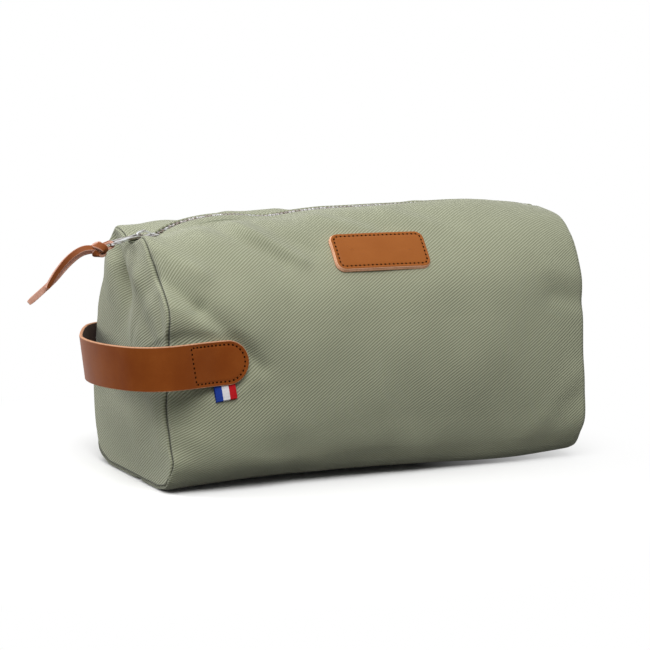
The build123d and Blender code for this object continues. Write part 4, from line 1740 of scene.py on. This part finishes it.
@dataclass
class Lace:
    """A flat leather lace: a loop in the pull's slot, an overhand knot and two tails."""

    wardrobe: Wardrobe
    width: float = 3.6
    thickness: float = 1.3
    edge: float = 0.35
    rows: int = 5
    tails: tuple[Tail, ...] = (
        Tail("long", (
            (-155.6, 0.8, 137.2), (-162, 1.6, 136.8), (-166.8, 1.7, 134.8), (-171.2, 1.7, 131.6),
            (-175.8, 1.7, 127.4), (-180.4, 1.7, 122.4), (-185.2, 1.7, 118.2), (-192, 1.7, 112.8),
            (-197.8, 1.7, 108.3),
        ), 50.1, (2.5, 3.0)),
        Tail("short", (
            (-154.6, -0.6, 138.2), (-161.5, -1.5, 139.2), (-166, -1.6, 138.6), (-171, -1.6, 136.2),
            (-176.2, -1.6, 132), (-180.8, -1.6, 126.8), (-184.6, -1.6, 121.8), (-187.4, -1.6, 117),
        ), 42.5, (-0.75, 0.35)),
    )
    # Shares of the width towards a tail's cut end.
    cut_end: tuple[float, ...] = (1.0, 0.96, 0.88, 0.74)
    knot_at: Place = (-154.4, 0.0, 137.7)
    knot_size: Place = (2.3, 1.15, 1.3)
    wrap_width: float = 5.0
    wrap_thickness: float = 1.5
    wrap_edge: float = 0.4
    # The loop's bend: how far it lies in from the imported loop's far end and top, and its radius.
    bend_inset: Pair = (0.9, 2.6)
    bend_radius: float = 1.75

    def build(self) -> None:
        """Makes the tails, the knot and the loop."""
        finishes = [self.wardrobe.get(Finish.LACE), self.wardrobe.get(Finish.LACE_RAW)]
        for tail in self.tails:
            route = self._route(tail.points)
            item = self._strip(f"lace_tail_{tail.name}_strip", route, tail.twist, finishes)
            settle(item, "lace", Finish.LACE, f"lace_tail_{tail.name}")
        self._knot(finishes)
        self._loop(finishes)

    @staticmethod
    def _route(points: tuple[Place, ...]) -> np.ndarray:
        """A smooth line with the given control points.

        Args:
            points: Control points in millimetres.

        Returns:
            Points along the line, in metres.
        """
        curve = bpy.data.curves.new("route", "CURVE")
        curve.dimensions = "3D"
        spline = curve.splines.new("NURBS")
        spline.points.add(len(points) - 1)
        for target, source in zip(spline.points, points):
            target.co = (*(part * MM for part in source), 1.0)
        spline.order_u = 3
        spline.use_endpoint_u = True
        spline.resolution_u = 12
        item = linked("route", curve)
        ready = item.evaluated_get(bpy.context.evaluated_depsgraph_get())
        mesh = bpy.data.meshes.new_from_object(ready)
        route = np.array([vertex.co for vertex in mesh.vertices])
        bpy.data.meshes.remove(mesh)
        bpy.data.objects.remove(item)
        return route

    def _strip(self, name: str, route: np.ndarray, twist: Pair,
               finishes: list[bpy.types.Material]) -> bpy.types.Object:
        """A flat strip along a route, its broad side to the front.

        Args:
            name: The piece's name.
            route: Points in metres.
            twist: Turn at the start and the end, in radians.
            finishes: Grain side and flesh side.

        Returns:
            The strip.
        """
        ahead = unit(np.gradient(route, axis=0))
        forward = np.array([0.0, -1.0, 0.0])
        front = unit(forward - ahead * (ahead @ forward)[:, None])
        side = np.cross(front, ahead)
        turn = np.linspace(*twist, len(route))[:, None]
        front, side = (front * np.cos(turn) + side * np.sin(turn),
                       side * np.cos(turn) - front * np.sin(turn))
        width = np.full(len(route), self.width * MM)
        width[-len(self.cut_end):] *= np.array(self.cut_end)
        piece = Piece(name)
        band(piece, route, side, front, width, self.thickness * MM, self.edge * MM, self.rows)
        return piece.build(finishes)

    def _knot(self, finishes: list[bpy.types.Material]) -> None:
        """The overhand knot, wound as one closed band round the two tails.

        Args:
            finishes: Grain side and flesh side.
        """
        centre = np.array(self.knot_at) * MM
        turn = np.linspace(0.0, math.tau, 121)[:-1]
        around = np.stack([1.05 * -np.sin(3 * turn), np.sin(turn) + 2 * np.sin(2 * turn),
                           np.cos(turn) - 2 * np.cos(2 * turn)], axis=-1)
        path = centre + around * (np.array(self.knot_size) * MM)
        ahead = unit(np.roll(path, -1, axis=0) - np.roll(path, 1, axis=0))
        out = (path - centre) * np.array([0.35, 1.0, 1.0])
        out = unit(out - ahead * np.sum(out * ahead, axis=1)[:, None])
        width = np.full(len(path), self.wrap_width * MM)
        piece = Piece("lace_knot_wraps")
        band(piece, path, np.cross(out, ahead), out, width, self.wrap_thickness * MM,
             self.wrap_edge * MM, self.rows, closed=True)
        settle(piece.build(finishes), "lace", Finish.LACE, "lace_knot")

    def _loop(self, finishes: list[bpy.types.Material]) -> None:
        """The loop through the pull's slot.

        Args:
            finishes: Grain side and flesh side.
        """
        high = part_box("lace_loop")[1]
        end = Vector(self.knot_at) * MM
        turn_at = Vector((high.x - self.bend_inset[0] * MM, 0.0, high.z - self.bend_inset[1] * MM))
        ahead = (turn_at - end).normalized()
        rise = Vector((-ahead.z, 0.0, ahead.x))
        half = self.bend_radius * MM
        reach = (turn_at - end).length - half
        bend = np.linspace(math.pi / 2, -math.pi / 2, 13)
        flat = [(0.0, half * 0.7), (reach * 0.5, half)]
        flat += [(reach + half * math.cos(a), half * math.sin(a)) for a in bend]
        flat += [(reach * 0.5, -half), (0.0, -half * 0.7)]
        path = np.array([end + ahead * a + rise * b for a, b in flat])
        side = np.broadcast_to(np.array([0.0, 1.0, 0.0]), path.shape)
        out = np.cross(unit(np.gradient(path, axis=0)), side)
        width = np.full(len(path), self.width * MM)
        piece = Piece("lace_loop_strip")
        band(piece, path, side, out, width, self.thickness * MM, self.edge * MM, self.rows)
        settle(piece.build(finishes), "lace", Finish.LACE, "lace_loop")


# ---- Leather handle and patch ----


def dash(name: str, length: float, width: float, height: float,
         material: bpy.types.Material) -> bpy.types.Object:
    """A small rounded bar along X, for a stitch or a needle hole.

    Args:
        name: The shape's name.
        length: Length in metres.
        width: Width in metres.
        height: Full height in metres.
        material: Its material.

    Returns:
        The bar, at the origin.
    """
    around = np.linspace(0, math.tau, 7)[:-1]
    ring = np.stack([np.cos(around) * width / 2, np.sin(around) * height / 2], axis=-1)
    rings = [np.insert(ring * share, 0, along * length, axis=1) for along, share in (
        (-0.5, 0.35), (-0.36, 0.85), (0.0, 1.0), (0.36, 0.85), (0.5, 0.35))]
    piece = Piece(name)
    piece.add_lump(np.stack(rings), True)
    return piece.build([material])


@dataclass
class Seam:
    """A line of machine stitches in leather: thread between needle holes, in a shallow groove."""

    wardrobe: Wardrobe
    repeater: Repeater
    pitch: float = 2.72
    thread_length: float = 1.9
    thread_width: float = 0.55
    thread_height: float = 0.34
    thread_sunk: float = 0.16
    hole: float = 1.05
    hole_height: float = 0.22
    hole_sunk: float = 0.03

    def build(self, name: str, node: str, path: np.ndarray, up: np.ndarray, closed: bool) -> None:
        """Makes the thread and its holes.

        Args:
            name: The piece's name.
            node: The CAD node that it replaces.
            path: The line on the leather's face, in metres.
            up: Unit vectors out of the face.
            closed: Joins the end to the start.
        """
        thread = self.wardrobe.get(Finish.THREAD)
        hole = self.wardrobe.get(Finish.HOLE)
        bar = dash("thread", self.thread_length * MM, self.thread_width * MM,
                   self.thread_height * MM, thread)
        stitches = self.repeater.run(name, path - up * (self.thread_sunk * MM), up, bar,
                                     self.pitch * MM, thread, closed)
        settle(stitches, "root", Finish.THREAD, node)
        # The holes lie half a pitch on, between the stitches.
        length = distances(np.vstack([path, path[:1]]))[-1]
        first = max(1, round(len(path) * 0.5 * self.pitch * MM / length))
        start, turned = np.roll(path, -first, axis=0), np.roll(up, -first, axis=0)
        # Each hole is a small near-black dash: painted shade for the hole's inside.
        dot = dash("hole", self.hole * 1.15 * MM, self.hole * MM, self.hole_height * MM, hole)
        holes = self.repeater.run(f"{name}_holes", start - turned * (self.hole_sunk * MM), turned,
                                  dot, self.pitch * MM, hole, closed)
        settle(holes, "root", Finish.HOLE)


@dataclass
class Strap:
    """The bowed side handle, stitched to both walls, with pale cut edges."""

    wardrobe: Wardrobe
    seam: Seam
    width: float = 26.0
    thickness: float = 1.9
    height: float = 77.2
    # The strap falls towards its back end by this angle, from the height at the given y.
    fall: float = 2.8
    level_y: float = -66.4
    # It leans out by this angle, reached between these distances from a tip.
    lean: float = 6.0
    lean_from: Pair = (34.0, 80.0)
    edge: float = 0.4
    rows: int = 53
    margin: float = 2.3
    stitched: float = 37.2
    slant: float = 0.165
    groove_depth: float = 0.28
    groove_width: float = 0.8
    # Distances from a tip at which its round end has a row.
    tip: tuple[float, ...] = (0.1, 0.35, 0.8, 1.4, 2.2, 3.1)
    plan: tuple[Pair, ...] = (
        (-88.4, -67.2), (-98, -67.3), (-108, -67.8), (-119.8, -71), (-131.5, -74.3),
        (-142.4, -75.3), (-151.3, -72.3), (-158.6, -64.8), (-163.6, -53), (-166.7, -40.3),
        (-167.8, -27), (-167, -12), (-164.1, 1.6), (-158.9, 15.5), (-152.4, 31), (-145.6, 46),
        (-139.6, 57), (-132.6, 63.6), (-123, 65.2), (-111, 65), (-99, 65), (-87, 65),
    )

    def __post_init__(self) -> None:
        """Works out the middle line and the strap's directions along it."""
        knots = np.array(self.plan)
        reach = distances(knots)
        self.line = through(reach, knots, np.linspace(0, reach[-1], 1200))
        self.walk = distances(self.line)
        self.length = float(self.walk[-1])

    def frame(self, s: np.ndarray) -> tuple[np.ndarray, np.ndarray, np.ndarray]:
        """Middle line, upward direction and outward direction at distances from the front tip.

        Args:
            s: Distances in millimetres.

        Returns:
            Points in millimetres and two sets of unit vectors.
        """
        slopes = np.gradient(self.line, self.walk, axis=0)
        flat, ahead = (np.stack([np.interp(s, self.walk, line[:, k]) for k in range(2)], axis=-1)
                       for line in (self.line, slopes))
        ahead = unit(ahead)
        out = np.stack([ahead[:, 1], -ahead[:, 0], 0 * s], axis=-1)
        from_inside = flat - np.array([-100.0, 0.0])
        inward = np.sum(out[:, :2] * from_inside, axis=1, keepdims=True) < 0
        out = np.where(inward, -out, out)
        tip = np.minimum(s, self.length - s)
        tilt = np.radians(self.lean * step(tip, *self.lean_from))[:, None]
        fall = math.radians(self.fall)
        rise = np.array([0.0, math.sin(fall), math.cos(fall)])
        up = rise * np.cos(tilt) + out * np.sin(tilt)
        face = out * np.cos(tilt) - rise * np.sin(tilt)
        level = self.height - math.tan(fall) * (flat[:, 1] - self.level_y)
        return np.column_stack([flat, level]), up, face

    def edge_distance(self, s: np.ndarray, v: np.ndarray) -> np.ndarray:
        """Distance from the stitch line at a place on the strap.

        Args:
            s: Distance from the front tip.
            v: Height above the middle line.

        Returns:
            Distance in millimetres.
        """
        near = np.minimum(s, self.length - s)
        reach = self.width / 2 - self.margin
        round_end = np.abs(np.hypot(np.maximum(self.width / 2 - near, 0.0), v) - reach)
        last = self.stitched + self.slant * v
        across = np.where(np.abs(v) <= reach + 1, np.abs(near - last), np.inf)
        return np.minimum(np.where(near <= last, round_end, np.inf), across)

    def build(self) -> None:
        """Makes the leather and its two lines of stitches."""
        tip = np.array(self.tip)
        between = np.linspace(4.0, self.length - 4.0, 300)
        s = np.concatenate([tip, between, self.length - tip[::-1]])
        middle, up, face = self.frame(s)
        radius = self.width / 2
        short = np.maximum(radius - np.minimum(s, self.length - s), 0.0)
        width = 2 * np.sqrt(np.maximum(radius**2 - short**2, 0.01))

        def groove(_: np.ndarray, place: np.ndarray) -> np.ndarray:
            """Depth of the groove under the stitches."""
            sunk = bell(self.edge_distance(s, place / MM), self.groove_width)
            return -self.groove_depth * MM * sunk

        piece = Piece("handle_leather")
        band(piece, middle * MM, up, face, width * MM, self.thickness * MM, self.edge * MM,
             self.rows, fills=(0, 1, 2), dip=groove)
        item = piece.build([self.wardrobe.get(finish)
                            for finish in (Finish.LEATHER, Finish.RAW, Finish.FLESH)])
        settle(item, "root", Finish.LEATHER, "handle_strap")
        for end, name in ((0, "front"), (1, "back")):
            path, out = self._stitch_line(end)
            self.seam.build(f"handle_{name}_stitches", f"handle_stitching_{name}", path, out, True)

    def _stitch_line(self, end: int) -> tuple[np.ndarray, np.ndarray]:
        """The closed line of stitches at one end.

        Args:
            end: 0 for the front tip, 1 for the back one.

        Returns:
            Points in metres and unit vectors out of the leather.
        """
        centre = self.width / 2
        reach = centre - self.margin
        last = self.slant * reach
        top = [(a, reach) for a in np.linspace(self.stitched + last, centre, 16)]
        turn = [(centre - reach * math.sin(a), reach * math.cos(a))
                for a in np.linspace(0, math.pi, 30)[1:-1]]
        low = [(a, -reach) for a in np.linspace(centre, self.stitched - last, 16)]
        back = [(self.stitched + self.slant * v, v) for v in np.linspace(-reach, reach, 14)[1:-1]]
        flat = np.array(top + turn + low + back)
        s = flat[:, 0] if end == 0 else self.length - flat[:, 0]
        middle, up, face = self.frame(s)
        points = middle + up * flat[:, 1:] + face * (self.thickness / 2 - 0.05)
        return points * MM, face


@dataclass
class Patch:
    """The bare leather patch: two plies with a pale layered edge, stitched all round."""

    wardrobe: Wardrobe
    seam: Seam
    size: Pair = (61.0, 26.0)
    corner: float = 5.6
    thickness: float = 3.1
    centre: Place = (4.1, -50.0, 135.1)
    slope: float = 48.0
    turn: float = -1.3
    margin: float = 2.5
    corner_points: int = 14
    edge_points: int = 220
    # Radii of its slight bends, along it and up the slope.
    bends: Pair = (1300.0, 190.0)
    # Its profile, as distances in from the edge with heights. The foot's heights are above the
    # underside, and those of the plies and the face are above the face. The face dips under
    # the stitches, at the margin.
    foot: tuple[Pair, ...] = ((0.5, 0.0), (0.0, 0.45))
    plies: tuple[Pair, ...] = (
        (0.0, -1.5), (0.3, -1.32), (0.25, -1.14), (0.45, -0.5), (0.65, -0.2))
    face: tuple[Pair, ...] = (
        (0.95, 0.0), (1.4, 0.02), (1.9, -0.08), (2.5, -0.28), (3.0, -0.08), (3.8, 0.04),
        (5.2, 0.06), (7.5, 0.05), (10.0, 0.05), (12.0, 0.05))

    def place(self, u: np.ndarray, v: np.ndarray, lift: float) -> tuple[np.ndarray, np.ndarray]:
        """A place on the patch, which bends with the bag.

        Args:
            u: Distance along, from the middle.
            v: Distance up the slope.
            lift: Height above the patch's face.

        Returns:
            Points in millimetres and unit vectors out of the patch.
        """
        lean, turn = math.radians(self.slope), math.radians(self.turn)
        out = np.array([0.0, -math.sin(lean), math.cos(lean)])
        along = np.array([math.cos(turn), math.sin(turn) * math.cos(lean),
                          math.sin(turn) * math.sin(lean)])
        up = np.cross(out, along)
        lean_u, lean_v = u / self.bends[0], v / self.bends[1]
        sink = -(u * lean_u + v * lean_v) / 2
        points = (np.array(self.centre) + np.multiply.outer(u, along) + np.multiply.outer(v, up)
                  + np.multiply.outer(sink + lift, out))
        normal = unit(out + np.multiply.outer(lean_v, up) + np.multiply.outer(lean_u, along))
        return points, normal

    def outline(self, inset: float) -> np.ndarray:
        """The rounded rectangle, drawn in by inset.

        Args:
            inset: Distance in from the edge.

        Returns:
            Points, going round.
        """
        half = np.array(self.size) / 2 - inset
        radius = max(self.corner - inset, 0.6)
        line = []
        for quarter, signs in enumerate(((1, 1), (-1, 1), (-1, -1), (1, -1))):
            angles = np.linspace(0, math.pi / 2, self.corner_points) + quarter * math.pi / 2
            arc = np.stack([np.cos(angles), np.sin(angles)], axis=-1)
            line.append(np.array(signs) * (half - radius) + radius * arc)
        return spread(np.concatenate(line), self.edge_points)

    def build(self) -> None:
        """Makes the leather and its stitches."""
        edge = [(inset, height - self.thickness) for inset, height in self.foot] + [*self.plies]
        rings = np.stack([self.place(*self.outline(inset).T, lift)[0]
                          for inset, lift in (*edge, *self.face)]) * MM
        piece = Piece("patch_leather")
        index = piece.add_points(rings)
        piece.add_faces(index[:len(edge)], True, fill=1, close_columns=True)
        piece.add_faces(index[len(edge) - 1:], True, fill=0, close_columns=True)
        piece.add_cap(index[0], rings[0], True, fill=1)
        piece.add_cap(index[-1], rings[-1], False, fill=0)
        item = piece.build([self.wardrobe.get(Finish.PATCH), self.wardrobe.get(Finish.PLY_EDGE)])
        settle(item, "root", Finish.PATCH, "leather_patch")
        points, out = self.place(*self.outline(self.margin).T, -0.05)
        self.seam.build("patch_stitches", "patch_stitching", points * MM, out, True)


@dataclass
class RibbonTab:
    """A short folded ribbon that hangs from under the handle's end."""

    wardrobe: Wardrobe
    width: float = 13.0
    middle_x: float = -103.8
    top: float = 66.0
    bottom: float = 55.2
    surface_y: float = -66.6
    ply: float = 0.5
    # How far the two layers stand off the cloth at the top, and how much more the front one bows.
    front_off: float = 0.9
    back_off: float = 0.4
    puff: float = 1.04
    fold_height: float = 0.9
    rib: float = 1.1
    rib_height: float = 0.1
    skew: float = 1.4
    # The weft's slope at the top, and what the fold adds to it.
    slope: Pair = (0.05, 0.06)

    def build(self) -> None:
        """Makes the ribbon as one folded band."""
        drop = np.linspace(0.0, 1.0, 16)
        fold_z = self.bottom + self.fold_height
        level = self.top + (fold_z - self.top) * drop
        bow = self.puff * np.sin(drop * math.pi / 2)
        front = np.stack([self.surface_y - self.front_off - bow, level], axis=-1)
        back_y = self.surface_y - self.back_off
        back = np.stack([np.full(len(drop), back_y), level[::-1]], axis=-1)
        bend = np.linspace(0, math.pi, 12)[1:-1]
        radius = (back_y - front[-1, 0]) / 2
        fold = (np.array([back_y - radius, fold_z])
                - radius * np.stack([np.cos(bend), np.sin(bend)], axis=-1))
        path = np.insert(np.concatenate([front, fold, back]), 0, 0.0, axis=1)
        out = np.cross(unit(np.gradient(path, axis=0)), np.array([1.0, 0.0, 0.0]))
        walk = distances(path)
        across = np.linspace(-0.5, 0.5, 29) * self.width
        woven = np.abs(across) < 0.48 * self.width
        ribs = self.rib_height * np.sin(walk * math.tau / self.rib)[:, None] * woven
        drop = ((self.top - path[:, 2]) / (self.top - self.bottom))[:, None]
        place = np.stack(np.broadcast_arrays(
            self.middle_x + across + self.skew * drop, path[:, 1:2],
            path[:, 2:3] + (self.slope[0] + self.slope[1] * drop) * across), axis=-1)
        outer = place + out[:, None, :] * (self.ply / 2 + ribs)[..., None]
        inner = place - out[:, None, :] * (self.ply / 2)
        uv = np.stack(np.broadcast_arrays(across, walk[:, None]), axis=-1) * MM
        piece = Piece("striped_ribbon_tab")
        piece.add_sheet(outer * MM, inner * MM, uv, False)
        item = piece.build([self.wardrobe.get(Finish.RIBBON)])
        settle(item, "root", Finish.RIBBON, "ribbon_tab")


# ---- Main ----


def main() -> None:
    """Builds the studio, the lace and then every other piece of the bag."""
    logging.basicConfig(level=logging.INFO, format="%(message)s")
    wardrobe = Wardrobe()
    repeater = Repeater()
    Studio().build()
    Lace(wardrobe).build()
    form = BagForm(ZipLine())
    CanvasBody(form, wardrobe).build()
    Zip(form.zip_line, wardrobe, repeater).build()
    seam = Seam(wardrobe, repeater)
    Strap(wardrobe, seam).build()
    Patch(wardrobe, seam).build()
    RibbonTab(wardrobe).build()


if __name__ == "__main__":
    main()
